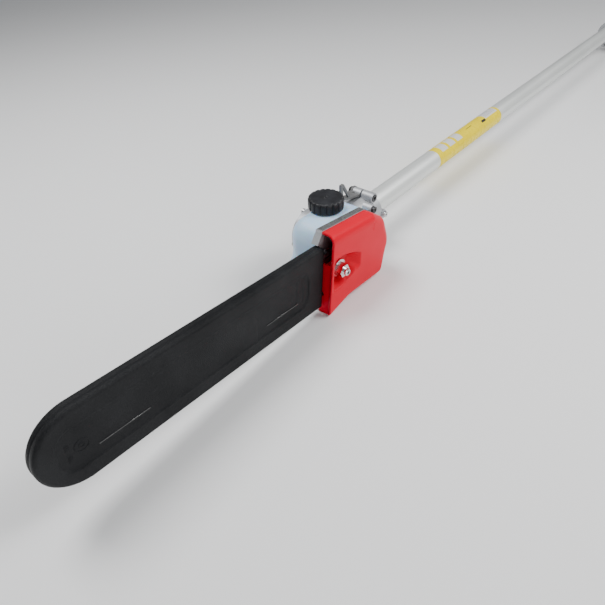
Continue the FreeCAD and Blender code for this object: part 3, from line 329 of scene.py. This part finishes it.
# ---------------------------------------------------------------- guide bar and saw chain
# A ground steel bar whose rails are worn bright, and a chain of blued links whose cutters are hard
# chromed. Chain oil pools in dark streaks along both.
ground_bar = Finish("ground_bar_steel", Metallic=1.0)
grinding = ground_bar.noise(1700.0, 2.0, ground_bar.stretched(0.06, 1.0, 1.0))
oil_film = ground_bar.noise(55.0, 5.0, ground_bar.stretched(0.4, 1.0, 1.0))
ground_bar.feed("Base Color", ground_bar.ramp(oil_film, (0.3, grey(0.34)), (0.6, grey(0.66))))
ground_bar.feed("Roughness", 0.2 + grinding * 0.14 + oil_film * 0.1)
ground_bar.bump(grinding, 0.2, 0.00006)
clad(ground_bar, nodes["guide_bar"])
blued = Finish("oiled_chain_links", Metallic=0.95)
link_tint = blued.noise(140.0, 4.0)
blued.feed("Base Color", blued.ramp(link_tint, (0.3, (0.10, 0.105, 0.12, 1)), (0.7, (0.32, 0.33, 0.35, 1))))
blued.feed("Roughness", 0.24 + link_tint * 0.2)
clad(blued, nodes["chain_drive_links"], nodes["chain_tie_straps"], nodes["chain_rivets"])
hard_chrome = Finish("cutter_hard_chrome", Metallic=1.0)
filing = hard_chrome.noise(1900.0, 2.0, hard_chrome.stretched(1.0, 0.2, 1.0))
hard_chrome.feed("Base Color", hard_chrome.ramp(filing, (0.3, grey(0.5)), (0.7, grey(0.68))))
hard_chrome.feed("Roughness", 0.14 + filing * 0.18)
clad(hard_chrome, nodes["chain_cutters"])

# ---------------------------------------------------------------- hanging bracket
# A bent steel strap over the head with an upright eye, in a thin dark grey coat that lets the
# blasted metal's texture through.
coated = Finish("grey_coated_steel", Metallic=0.35)
coat_texture = coated.noise(1100.0, 3.0)
coated.feed("Base Color", coated.ramp(coat_texture, (0.3, grey(0.12)), (0.7, grey(0.19))))
coated.feed("Roughness", 0.48 + coat_texture * 0.2)
coated.bump(coat_texture, 0.4, 0.00012)
clad(coated, nodes["hanging_bracket"])

# ---------------------------------------------------------------- bar scabbard
# A grained black sheath, moulded in polythene as one thin shell and open at the saw's end. A seam
# runs round its rim at mid thickness, and a flat panel is sunk in each side.
TILT = np.array(Matrix.Rotation(PITCH, 3, "Y"))


def on_bar(points):
    """Points in millimetres in the bar's frame, tilted and moved to metres in the pole's frame."""
    return np.asarray(points, float).reshape(-1, 3) / 1000 @ TILT.T + (-REACH, 0, 0)


def quads(rows, columns, closed=False):
    """Faces of a grid of rows by columns of points; a closed grid joins its last column to its first."""
    across = np.arange(columns if closed else columns - 1)
    row = np.arange(rows - 1)[:, None] * columns
    beside = (across + 1) % columns
    corners_of = [row + across, row + beside, row + columns + beside, row + columns + across]
    return np.stack(corners_of, -1).reshape(-1, 4)


def ease(value):
    """A smooth rise from nought to one: 3v2 - 2v3 of a value held between nought and one."""
    value = np.clip(value, 0, 1)
    return value * value * (3 - 2 * value)


def mended(made, merge=0.0):
    """The object with its doubled points merged, where a distance is given, and its faces outward."""
    form = bmesh.new()
    form.from_mesh(made.data)
    if merge:
        bmesh.ops.remove_doubles(form, verts=form.verts, dist=merge)
        bmesh.ops.dissolve_degenerate(form, edges=form.edges, dist=1e-7)
    bmesh.ops.recalc_face_normals(form, faces=form.faces)
    form.to_mesh(made.data)
    form.free()
    return made


def shell(name, outer, inner, edges):
    """Two grids of the same size, one inside the other, stitched along the edges given as lines of
    point numbers; doubled points are merged and the faces are turned outwards."""
    rows, columns = outer.shape[:2]
    count = rows * columns
    skin_faces = quads(rows, columns)
    stitches = [np.stack([line[:-1], line[:-1] + count, line[1:] + count, line[1:]], -1) for line in edges]
    faces = np.concatenate([skin_faces, skin_faces[:, ::-1] + count] + stitches)
    points = np.concatenate([outer.reshape(-1, 3), inner.reshape(-1, 3)])
    return mended(mesh_object(name, points, faces.tolist()), 1e-6)


sheath_half, sheath_end, sheath_tip, sheath_low = 36.25, -66.8, -368.0, -2.4
sheath_middle, half_thick, sheath_wall, corner = -40.9, 6.3, 1.8, 3.0
tip_turn = sheath_tip + sheath_half
straight = sheath_end - tip_turn
panel_low, panel_high, panel_front, panel_rear = -23.4, 18.8, -352.8, -87.9
panel_corner, panel_sunk, panel_slope = 15.0, 0.9, 0.7
# stations along the outline, closer together at the mouth end of the panel
forth = np.concatenate([np.linspace(0, 18.4, 10), np.linspace(20.0, 21.6, 5),
                        np.linspace(22.6, straight, 190)])
around = straight + np.linspace(0, math.pi * sheath_half, 74)[1:-1]
run = np.concatenate([forth, around, 2 * straight + math.pi * sheath_half - forth[::-1]])[:, None]
bend = np.clip((run - straight) / sheath_half, 0, math.pi)
back = straight + math.pi * sheath_half
along = np.where(run < straight, sheath_end - run, np.where(run > back, tip_turn + run - back, tip_turn))
# the section from the middle line of one face, round the rim, to the middle line of the other
ledge = sheath_half - (panel_high - panel_low) / 2
flats = np.concatenate([np.linspace(sheath_half, ledge + 0.8, 10), ledge + np.array([0.35, 0, -0.35]),
                        np.linspace(ledge - 0.8, 11.8, 5), np.linspace(10.5, corner, 6)])
turning = np.linspace(0, math.pi / 2, 8)[1:]
inset = np.concatenate([flats, corner - corner * np.sin(turning), [0.05, 0.55]])
level = np.concatenate([np.full_like(flats, half_thick),
                        half_thick - corner + corner * np.cos(turning), [0.5, 0.0]])
inset, level = np.concatenate([inset, inset[-2::-1]]), np.concatenate([level, -level[-2::-1]])


def sheath(inward, levels):
    """Points of the sheath: at each station the outline, moved in by the section's inset, at the
    section's level either side of mid thickness."""
    reach_out = sheath_half - inward
    x = along - np.sin(bend) * reach_out
    z = sheath_low + np.cos(bend) * reach_out
    return np.stack([x, np.broadcast_to(sheath_middle - levels, x.shape), z], -1)


skin = sheath(inset, level)
# distance inside the panel's round-cornered outline sinks the face to an even depth past a narrow slope
half_long, half_high = (panel_rear - panel_front) / 2, (panel_high - panel_low) / 2
beyond_x = np.abs(skin[..., 0] - (panel_front + panel_rear) / 2) - half_long + panel_corner
beyond_z = np.abs(skin[..., 2] - (panel_low + panel_high) / 2) - half_high + panel_corner
distance = (np.hypot(np.maximum(beyond_x, 0), np.maximum(beyond_z, 0))
            + np.minimum(np.maximum(beyond_x, beyond_z), 0))
inside_panel = ease((panel_corner - distance) / panel_slope)
sunk = panel_sunk * inside_panel
# the panel is a little deeper behind a step, with two shallow grooves near the mouth
step_at, step_deep, groove_deep, groove_half, groove_reach, groove_middle = -162.5, 0.2, 0.35, 2.2, 15, 0.5
within = ease((groove_reach - np.abs(skin[..., 2] - groove_middle)) / 1.5)
sunk += step_deep * ease((skin[..., 0] - step_at) / 1.2) * inside_panel
for groove in (-107, -98):
    sunk += groove_deep * ease((groove_half - np.abs(skin[..., 0] - groove)) / 1.2) * within
skin[..., 1] += np.where(np.abs(level) > half_thick - 0.1, np.sign(level) * sunk, 0)
lining = sheath(np.minimum(inset * (1 - sheath_wall / sheath_half) + sheath_wall, sheath_half),
                np.sign(level) * np.maximum(np.abs(level) - sheath_wall, 0))
rows, columns = skin.shape[:2]
mouth_ends = [np.arange(columns), (np.arange(columns) + (rows - 1) * columns)[::-1]]
sheath_piece = shell("sheath_moulding", on_bar(skin).reshape(skin.shape),
                     on_bar(lining).reshape(skin.shape), mouth_ends)
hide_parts("scabbard")
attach(sheath_piece, "scabbard")


def bead(path, radius, closed=False):
    """A half-sunk round bead: a circle of eight points carried along a flat path on the panel."""
    path = np.asarray(path, float)
    ahead = np.roll(path, -1, 0) - np.roll(path, 1, 0)
    if not closed:
        ahead[0], ahead[-1] = path[1] - path[0], path[-1] - path[-2]
    ahead /= np.linalg.norm(ahead, axis=1)[:, None]
    side = np.stack([-ahead[:, 1], ahead[:, 0]], -1)
    girth = np.linspace(0, 2 * math.pi, 8, endpoint=False)
    swell = np.full(len(path), radius)
    if not closed:
        swell[0] = swell[-1] = radius * 0.05
    flat = path[:, None] + side[:, None] * (np.cos(girth) * swell[:, None])[..., None]
    lift = sheath_middle - half_thick + panel_sunk - np.sin(girth) * swell[:, None] * 0.8
    return np.stack([flat[..., 0], lift, flat[..., 1]], -1)


def beads(name, paths, radius):
    """Several beads in one mesh, each a ring of grids with its ends closed by a face."""
    points, faces = [], []
    for path, closed in paths:
        grid = bead(path, radius, closed)
        start = sum(len(group) for group in points)
        if closed:
            grid = np.concatenate([grid, grid[:1]])
        points.append(grid.reshape(-1, 3))
        faces += (quads(len(grid), 8, True) + start).tolist()
        if not closed:
            finish = start + 8 * len(grid)
            faces += [list(range(start, start + 8)), list(range(finish - 8, finish))]
    return mended(mesh_object(name, on_bar(np.concatenate(points)), faces), 1e-7)


def line(start, end):
    """A straight path whose ends taper over its first and last half millimetre."""
    start, end = np.array(start, float), np.array(end, float)
    share = 0.5 / np.linalg.norm(end - start)
    return np.array([start + (end - start) * part for part in (0, share, 1 - share, 1)]), False


sweep = np.linspace(0, 2 * math.pi, 40, endpoint=False)
mark_x, mark_z, large_ring, small_ring = -334.5, -2.2, 5.4, 2
rings = [(np.stack([mark_x + size * np.cos(turns), mark_z + size * np.sin(turns)], -1), True)
         for size, turns in ((large_ring, sweep), (small_ring, sweep[::2]))]
strokes = [line((-346.4, height), (-342.6, height)) for height in (5.0, 3.0, 1.0, -6.8, -8.8, -10.8)]
ribs = [line((-323.5, -12), (-279, -12)), line((-149.5, -12.4), (-104, -12.4))]
rib_piece = beads("sheath_ribs", ribs, 0.5)
mark_piece = beads("sheath_marks", rings + strokes, 0.38)
for piece in (rib_piece, mark_piece):
    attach(piece, "scabbard")

black_grain = Finish("grained_black_moulding", Specular_IOR_Level=0.12)
pebble = black_grain.noise(1100.0, 3.0)
grain_patch = black_grain.noise(26.0, 4.0)
scuff = black_grain.noise(240.0, 5.0, black_grain.stretched(0.25, 1.0, 1.0))
bare = black_grain.ramp(scuff, (0.66, grey(0)), (0.78, grey(1)))
body_black = black_grain.ramp(pebble * 0.5 + grain_patch * 0.5, (0.35, (0.0055, 0.006, 0.0068, 1)),
                              (0.65, (0.018, 0.0185, 0.02, 1)))
black_grain.feed("Base Color", black_grain.mix(bare, body_black, (0.02, 0.021, 0.023, 1)))
black_grain.feed("Roughness", 0.36 + pebble * 0.2)
black_grain.bump(pebble, 0.9, 0.0006)
clad(black_grain, sheath_piece, mark_piece)
rubbed = Finish("rubbed_black_moulding", Specular_IOR_Level=0.9)
rub = rubbed.noise(300.0, 4.0)
rubbed.feed("Base Color", rubbed.ramp(rub, (0.3, grey(0.02)), (0.7, grey(0.05))))
rubbed.feed("Roughness", 0.12 + rub * 0.2)
rubbed.bump(rub, 0.3, 0.0002)
clad(rubbed, rib_piece)

# ---------------------------------------------------------------- sprocket cover
# A glossy red nylon moulding over the drive sprocket, with a broad round to its top and rear. The
# bar nut sits in a deep pocket, and a low front wall leaves an arched mouth for the chain.
cover_back, cover_face, cover_wall, cover_round, low_round = -41.0, -57.0, 2.4, 9.0, 3.5
# corners of the cover's outline in the bar's frame, with the radius of each: mouth top first
corners = [(-63, 48.5, 0), (9, 45, 9), (31, 32, 16), (46, 1, 26), (33.5, -38, 6), (-29, -38, 28),
           (-65.4, -48.2, 0)]


def rounded(points, count):
    """A path through straight runs joined by arcs: each corner is replaced by an arc of its radius
    that touches both runs."""
    path = [np.array(points[0][:2], float)[None]]
    for before, at, after in zip(points, points[1:], points[2:]):
        here = np.array(at[:2], float)
        leave, arrive = np.array(before[:2]) - here, np.array(after[:2]) - here
        leave, arrive = leave / np.linalg.norm(leave), arrive / np.linalg.norm(arrive)
        half = math.acos(float(leave @ arrive)) / 2
        centre = here + (leave + arrive) / np.linalg.norm(leave + arrive) * at[2] / math.sin(half)
        spokes = [here + way * at[2] / math.tan(half) - centre for way in (leave, arrive)]
        angles = [math.atan2(spoke[1], spoke[0]) for spoke in spokes]
        swing = (angles[1] - angles[0] + math.pi) % (2 * math.pi) - math.pi
        turn = angles[0] + swing * np.linspace(0, 1, count)
        path.append(centre + at[2] * np.stack([np.cos(turn), np.sin(turn)], -1))
    path.append(np.array(points[-1][:2], float)[None])
    return np.concatenate(path)


def evenly(path, count):
    """The same path at evenly spaced distances along it."""
    gone = np.concatenate([[0], np.cumsum(np.linalg.norm(np.diff(path, axis=0), axis=1))])
    wanted = np.linspace(0, gone[-1], count)
    return np.stack([np.interp(wanted, gone, path[:, 0]), np.interp(wanted, gone, path[:, 1])], -1)


outline = evenly(rounded(corners, 24), 260)
# a smooth closed ring for the nut pocket's mouth, and a smaller one for its floor
pocket_mouth = [(-60.5, 21.5, 3), (-44, 21.2, 14), (-28, 16.5, 14), (-14, 10.5, 4), (-13.2, -7, 4),
                (-34, -12.1, 18), (-48, -18, 12), (-60.5, -18.5, 3)]
pocket_floor = -45.9


def distance_to(points, ring):
    """Signed distance in a plane from each point to a closed ring: the nearest of its segments, taken
    negative inside, where a ray crosses the ring an odd number of times."""
    start, end = ring, np.roll(ring, -1, 0)
    edge = end - start
    gap = points[..., None, :] - start
    share = np.clip((gap * edge).sum(-1) / (edge ** 2).sum(-1), 0, 1)
    nearest = np.linalg.norm(gap - share[..., None] * edge, axis=-1).min(-1)
    spans = (start[:, 1] > points[..., 1, None]) != (end[:, 1] > points[..., 1, None])
    rise = np.where(edge[:, 1] == 0, 1e-9, edge[:, 1])
    crossing = start[:, 0] + (points[..., 1, None] - start[:, 1]) / rise * edge[:, 0]
    inside = (spans & (points[..., 0, None] < crossing)).sum(-1) % 2 == 1
    return np.where(inside, -nearest, nearest)


def closed_ring(points, count):
    """A closed ring with rounded corners, evenly spaced, from corners that each have a radius."""
    middle = [(points[0][0] + points[-1][0]) / 2, (points[0][1] + points[-1][1]) / 2, 0]
    return evenly(rounded([middle] + list(points) + [middle], 10), count + 1)[:-1]


hollow_mouth = closed_ring(pocket_mouth, 150)
hollow_floor = closed_ring([(-59.5, 10.5, 3), (-26.5, 10.5, 4), (-26.5, -12.8, 3), (-59.5, -13.2, 3)], 90)
# rungs run from the upper half of the outline to the lower half and shorten to nothing at the rear
rear_most = int(outline[:, 0].argmax())
upper, lower = outline[:rear_most + 1], outline[:rear_most - 1:-1]
front_x = np.concatenate([np.linspace(-63, -9, 84), np.linspace(-8, 8, 12)])


def rail(half):
    """Stations along one half of the outline: at set distances from the mouth, then evenly round the rear."""
    split = int(np.searchsorted(half[:, 0], 8.5))
    ahead = np.stack([front_x, np.interp(front_x, half[:split + 1, 0], half[:split + 1, 1])], -1)
    return np.concatenate([ahead, evenly(np.concatenate([ahead[-1:], half[split:]]), 56)[1:]])


def outward_of(path, sign):
    """Unit directions square to a path, on the side that the sign gives."""
    along_path = np.gradient(path, axis=0)
    along_path /= np.linalg.norm(along_path, axis=1)[:, None]
    return np.stack([-along_path[:, 1], along_path[:, 0]], -1) * sign


shares = np.concatenate([np.linspace(0, 0.19, 8, endpoint=False), np.linspace(0.19, 0.8, 88, endpoint=False),
                         np.linspace(0.8, 1, 9)])[1:-1]


def cover_skin(depth_in):
    """The cover's surface drawn in by a distance: along each rung the wall rises from the split line,
    turns through a quarter circle onto the face, crosses it, and goes down again."""
    sides = []
    for half, sign in ((upper, 1), (lower, -1)):
        rail_line = rail(half)
        normal = outward_of(rail_line, sign)
        normal[-1] = (1, 0)
        softness = low_round + (cover_round - low_round) * ease((rail_line[:, 1] + 38) / 30)
        softness = np.maximum(softness - depth_in, 0.8)[:, None]
        quarter = np.linspace(0, math.pi / 2, 9)[None, 1:]
        rise = (softness + cover_face + depth_in - cover_back) * np.linspace(0, 1, 4)[None]
        drawn_in = depth_in + np.concatenate([np.zeros_like(rise), softness * (1 - np.cos(quarter))], 1)
        height = cover_back + np.concatenate([rise, rise[:, -1:] - softness * np.sin(quarter)], 1)
        place = rail_line[:, None] - normal[:, None] * drawn_in[..., None]
        sides.append(np.stack([place[..., 0], height, place[..., 1]], -1))
    top, bottom = sides
    face = top[:, -1:] + (bottom[:, -1:] - top[:, -1:]) * shares[None, :, None]
    return np.concatenate([top, face, bottom[:, ::-1]], 1)


def hollowed(surface, amount):
    """Sinks the nut pocket: depth grows in proportion from the mouth's ring to the floor's ring."""
    flat = surface[..., [0, 2]]
    within = np.maximum(-distance_to(flat, hollow_mouth), 0)
    outside_floor = np.maximum(distance_to(flat, hollow_floor), 0)
    share = within / (within + outside_floor + 1e-9)
    surface[..., 1] += amount * (0.6 * share + 0.4 * ease(share)) * (surface[..., 1] < cover_face + 4)
    return surface


outer_skin = hollowed(cover_skin(0.0), pocket_floor - cover_face)
inner_skin = hollowed(cover_skin(cover_wall), pocket_floor - cover_face)
rows, columns = outer_skin.shape[:2]
split_edges = [np.arange(columns), np.arange(rows)[::-1] * columns, np.arange(rows) * columns + columns - 1]
cover_piece = shell("cover_moulding", on_bar(outer_skin).reshape(outer_skin.shape),
                    on_bar(inner_skin).reshape(inner_skin.shape), split_edges)


def slab(name, section, low, high, bevel):
    """A flat plate: a closed outline of level and height, carried along the bar and beveled."""
    ring = np.array(section, float)
    count = len(ring)
    points = np.concatenate([np.insert(ring, 0, end, axis=1) for end in (low, high)])
    around_it = np.arange(count)
    ahead = (around_it + 1) % count
    faces = np.stack([around_it, ahead, ahead + count, around_it + count], -1).tolist()
    ends = [list(range(count))[::-1], list(range(count, 2 * count))]
    made = mended(mesh_object(name, on_bar(points), faces + ends, False))
    edge = made.modifiers.new("edge", "BEVEL")
    edge.width, edge.segments = bevel, 3
    return made


wall_section = [(-41.6, 13), (-55.6, 13.4), (-56.2, -43), (-53.5, -46.6), (-41.6, -47), (-41.6, -27.5),
                (-45.2, -26.8), (-46.4, -24.2), (-45.2, -21.6), (-41.6, -21)]
front_wall = slab("cover_front_wall", wall_section, -62.9, -60.4, 0.0004)
gloss_red = Finish("gloss_red_moulding", Specular_IOR_Level=0.08)
red_flow = gloss_red.noise(14.0, 3.0)
specks = gloss_red.noise(900.0, 2.0)
gloss_red.feed("Base Color", gloss_red.ramp(red_flow, (0.3, (0.62, 0.0005, 0.018, 1)),
                                            (0.7, (0.72, 0.001, 0.026, 1))))
gloss_red.feed("Roughness", 0.22 + red_flow * 0.1 + specks * 0.06)
gloss_red.bump(specks, 0.12, 0.0001)
clad(gloss_red, cover_piece, front_wall)
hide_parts("sprocket_cover")
for piece in (cover_piece, front_wall):
    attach(piece, "front_boom")

# ---------------------------------------------------------------- flange ridges
# The casting's flange carries four fine ridges along its top edge, cast in with it, that run back
# from the mouth beside the cover. They are coloured far darker than the casting, as painted shade.
stations, ridge_sides, ridge_radius = 60, 8, 0.62
ridge_path = evenly(rounded([(-62.5, 48.7, 0), (9, 45.2, 9), (29.5, 32.8, 0)], 10), stations)
ridge_out = outward_of(ridge_path, 1)
swing = np.linspace(0, 2 * math.pi, ridge_sides, endpoint=False)
from_end = np.minimum(np.arange(stations), np.arange(stations)[::-1])
swell = ridge_radius * np.minimum(1, 0.05 + from_end)[:, None]
ridge_points, ridge_faces = [], []
for number, ridge_level in enumerate((-34.2, -36.0, -37.8, -39.6)):
    flat_place = ridge_path[:, None] + ridge_out[:, None] * (np.cos(swing) * swell)[..., None]
    ridge = np.stack([flat_place[..., 0], ridge_level + np.sin(swing) * swell, flat_place[..., 1]], -1)
    ridge_points.append(ridge.reshape(-1, 3))
    start, after = number * stations * ridge_sides, (number + 1) * stations * ridge_sides
    ridge_faces += (quads(stations, ridge_sides, True) + start).tolist()
    ridge_faces += [list(range(start, start + ridge_sides)), list(range(after - ridge_sides, after))]
ridge_piece = mesh_object("flange_ridges", on_bar(np.concatenate(ridge_points)), ridge_faces)
# The ridges' dark grey base colour is painted shade of the ridged strip; a noise mottles it and the
# roughness.
ridge_painted_shade = Finish("ridges_with_painted_shade", Metallic=0.6)
ridge_mottle = ridge_painted_shade.noise(260.0, 4.0)
ridge_painted_shade.feed("Base Color", ridge_painted_shade.ramp(ridge_mottle, (0.3, grey(0.10)), (0.7, grey(0.2))))
ridge_painted_shade.feed("Roughness", 0.4 + ridge_mottle * 0.3)
clad(ridge_painted_shade, ridge_piece)
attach(ridge_piece, "front_boom")

# ---------------------------------------------------------------- oil tank
# A blow-moulded tank of natural polythene, milky and soft edged, wrapped over the gear case. Its
# threaded neck stands up through the top.
tank_near, tank_far, tank_shell, case_round = -32.7, 10.0, 2.0, 25.4
near_edge, far_edge, far_extra, least_round, round_steps = 3, 2.5, 14, 0.6, 12
case_angles = np.radians(np.linspace(66, 182, 12))
tank_corners = ([(-56, -18, 7), (-56, 45.6, 19), (5, 45.6, 16), (23, 34.2, 12), (38, 27, 2), (38, 23.4, 0.5)]
                + [(case_round * math.cos(angle), case_round * math.sin(angle), 0.4) for angle in case_angles]
                + [(-25.6, -18, 2)])
tank_ring = closed_ring(tank_corners, 240)


def tank_form(name, draw_in):
    """The tank drawn in by a distance: its outline carried from the near face to the far one, drawn in
    along a quarter circle at each end. The far round is broad at the front and top and small below."""
    ring = tank_ring
    tangent = np.roll(ring, -1, 0) - np.roll(ring, 1, 0)
    tangent /= np.linalg.norm(tangent, axis=1)[:, None]
    normal = np.stack([-tangent[:, 1], tangent[:, 0]], -1)
    if distance_to((ring + normal * 0.5)[:1], ring)[0] < 0:
        normal = -normal
    off_case = ease((np.hypot(ring[:, 0], ring[:, 1]) - 27) / 6)
    broad = ease((ring[:, 1] + 16) / 26) * ease((22 - ring[:, 0]) / 20) * off_case
    far_round = np.maximum(far_edge + far_extra * broad - draw_in, least_round)[None]
    near_round = max(near_edge - draw_in, least_round)
    quarter = np.linspace(0, math.pi / 2, round_steps)[:, None]
    count, rows = len(ring), 2 * round_steps
    near_part = np.broadcast_to(draw_in + near_round * (1 - np.sin(quarter)), (round_steps, count))
    far_part = draw_in + far_round * (1 - np.cos(quarter))
    inward = np.concatenate([near_part, far_part])[..., None]
    near_levels = tank_near + draw_in + near_round * (1 - np.cos(quarter))
    levels = np.concatenate([np.broadcast_to(near_levels, (round_steps, count)),
                             tank_far - draw_in - far_round * (1 - np.sin(quarter))])
    flat_place = ring[None] - normal[None] * inward
    points = np.stack([flat_place[..., 0], levels, flat_place[..., 1]], -1) / 1000 + (-REACH, 0, 0)
    ends = [list(range(count)), list(range((rows - 1) * count, rows * count))]
    return mended(mesh_object(name, points, quads(rows, count, True).tolist() + ends))


def turned_form(name, profile, centre, count=96, flutes=None):
    """A closed turned shape: a profile of radius and height, from axis to axis, carried round a
    circle; flutes is an array by row and column that is taken off the radius."""
    radius, height = np.array(profile, float).T
    angle = np.linspace(0, 2 * math.pi, count, endpoint=False)[None]
    reach_out = radius[:, None] - (0 if flutes is None else flutes)
    ring_points = np.stack([centre[0] + reach_out * np.cos(angle), centre[1] + reach_out * np.sin(angle),
                            np.broadcast_to(height[:, None], (len(radius), count))], -1)
    faces = quads(len(radius), count, True).tolist()
    return mended(mesh_object(name, ring_points / 1000 + (-REACH, 0, 0), faces), 1e-6)


def combined(base, steps):
    """The base mesh with each form joined to it or cut from it in turn; the forms are used up."""
    for operation, form in steps:
        cutter = base.modifiers.new(form.name, "BOOLEAN")
        cutter.operation, cutter.object, cutter.solver = operation, form, "EXACT"
    bpy.context.view_layer.update()
    made = bpy.data.meshes.new_from_object(base.evaluated_get(bpy.context.evaluated_depsgraph_get()))
    base.modifiers.clear()
    base.data = made
    for operation, form in steps:
        bpy.data.objects.remove(form)
    made.set_sharp_from_angle(angle=math.radians(38))
    return base


neck = (-9.7, -7.5)
tank_piece = tank_form("tank_moulding", 0.0)
neck_profile = [(0, 43), (17, 43), (16.6, 45.4), (14.6, 45.9), (13.4, 47), (13.4, 53), (0, 53)]
neck_form = turned_form("neck_form", neck_profile, neck)
bore_form = turned_form("bore_form", [(0, 38), (11, 38), (11, 54), (0, 54)], neck)
room_form = tank_form("room_form", tank_shell)
tank_steps = [("UNION", neck_form), ("DIFFERENCE", room_form), ("DIFFERENCE", bore_form)]
tank_piece = combined(tank_piece, tank_steps)
milky = Finish("natural_tank_plastic", Specular_IOR_Level=0.35, Subsurface_Weight=0.35,
               Subsurface_Scale=0.012)
milk = milky.noise(18.0, 3.0)
orange_peel = milky.noise(380.0, 2.0)
milky.feed("Base Color", milky.ramp(milk, (0.3, (0.52, 0.71, 0.96, 1)), (0.7, (0.60, 0.77, 0.98, 1))))
milky.feed("Roughness", 0.3 + milk * 0.1 + orange_peel * 0.08)
milky.bump(orange_peel, 0.12, 0.0003)
clad(milky, tank_piece)
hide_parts("oil_tank")
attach(tank_piece, "front_boom")

# ---------------------------------------------------------------- tank cap
# A black screw cap moulded in polypropylene, with flutes to grip it by and a shallow ring on top.
# Inside it is hollow where it screws down over the neck.
cap_profile = [(0, 58.0), (1.6, 58.0), (2.2, 58.35), (2.9, 58.0), (11.5, 57.8), (13.4, 58.1), (15.6, 58.75),
               (17, 58.7), (18.2, 58.2), (19, 57.2), (19.2, 56), (19.2, 52), (19.15, 49), (19.1, 47.6),
               (18.8, 46.7), (18.2, 46.35), (15.2, 46.35), (14.5, 46.8), (14.5, 54.4), (13.8, 54.9),
               (0, 54.9)]
cap_radii, cap_heights = np.array(cap_profile).T
flutes, flute_deep, cap_columns = 18, 1.25, 432
flute_turn = np.linspace(0, 2 * math.pi, cap_columns, endpoint=False)
flute_wave = np.abs(np.cos(flute_turn * flutes / 2)) ** 10
reach_of_flute = (ease((cap_radii - 15.3) / 2.5) * ease((cap_heights - 47.2) / 1.5))[:, None]
cap_piece = turned_form("tank_cap_moulding", cap_profile, neck, cap_columns,
                        flute_deep * flute_wave * reach_of_flute)
cap_piece.data.set_sharp_from_angle(angle=math.radians(40))
cap_black = Finish("ribbed_cap_moulding", Specular_IOR_Level=0.35)
cap_grain = cap_black.noise(1400.0, 2.0)
dust = cap_black.noise(90.0, 5.0)
cap_black.feed("Base Color", cap_black.ramp(dust, (0.35, (0.009, 0.009, 0.011, 1)),
                                            (0.72, (0.022, 0.023, 0.027, 1))))
cap_black.feed("Roughness", 0.34 + cap_grain * 0.14 + dust * 0.12)
cap_black.bump(cap_grain, 0.4, 0.00018)
clad(cap_black, cap_piece)
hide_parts("tank_cap")
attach(cap_piece, "cap")

# ---------------------------------------------------------------- pole label
# A glossy yellow film wrapped round the boom, printed with three plain grey squares, a blank panel
# ruled in grey, and a few plain dark blocks.
label = nodes["pole_label"]
film = Finish("printed_label_film", Specular_IOR_Level=0.12)
axes = film.add("SeparateXYZ", {}, {0: film.place})
label_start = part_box("pole_label")[0][0]
run_along = (Wire(film, axes.socket) - label_start) * 1000
width_at, height_at = (Wire(film, axes.socket.node.outputs[index]) for index in (1, 2))
arc_at = film.add("Math", {"operation": "ARCTAN2"}, {0: height_at, 1: width_at * -1}) * 14.1


def panel(along_from, along_to, round_from, round_to):
    """One inside a rectangle on the film: both distances from its middle are under half its sides."""
    across = (run_along - (along_from + along_to) / 2).size().below((along_to - along_from) / 2)
    return across * (arc_at - (round_from + round_to) / 2).size().below((round_to - round_from) / 2)


printed = film.ramp(film.noise(30.0, 2.0), (0.3, (0.80, 0.62, 0.001, 1)), (0.7, (0.86, 0.68, 0.002, 1)))
pale_ink, dark_ink = grey(0.62), grey(0.035)
for block, ink in ((panel(12, 28, 12, 28), pale_ink), (panel(34, 50, 12, 28), pale_ink),
                   (panel(56, 72, 12, 28), pale_ink), (panel(74, 118, 30, 36), pale_ink),
                   (panel(153, 194, 15, 34), pale_ink), (panel(138, 151, 12.5, 16.6), dark_ink),
                   (panel(94, 112, 19.2, 20.2), dark_ink)):
    printed = film.mix(block, printed, ink)
ruled = panel(156, 191, 17, 32) * (film.add("Math", {"operation": "FRACT"}, {0: arc_at * 0.38})).below(0.22)
printed = film.mix(ruled * 0.6, printed, (0.16, 0.18, 0.2, 1))
film.feed("Base Color", printed)
film_wear = film.noise(160.0, 4.0)
film.feed("Roughness", 0.2 + film_wear * 0.16)
clad(film, label)
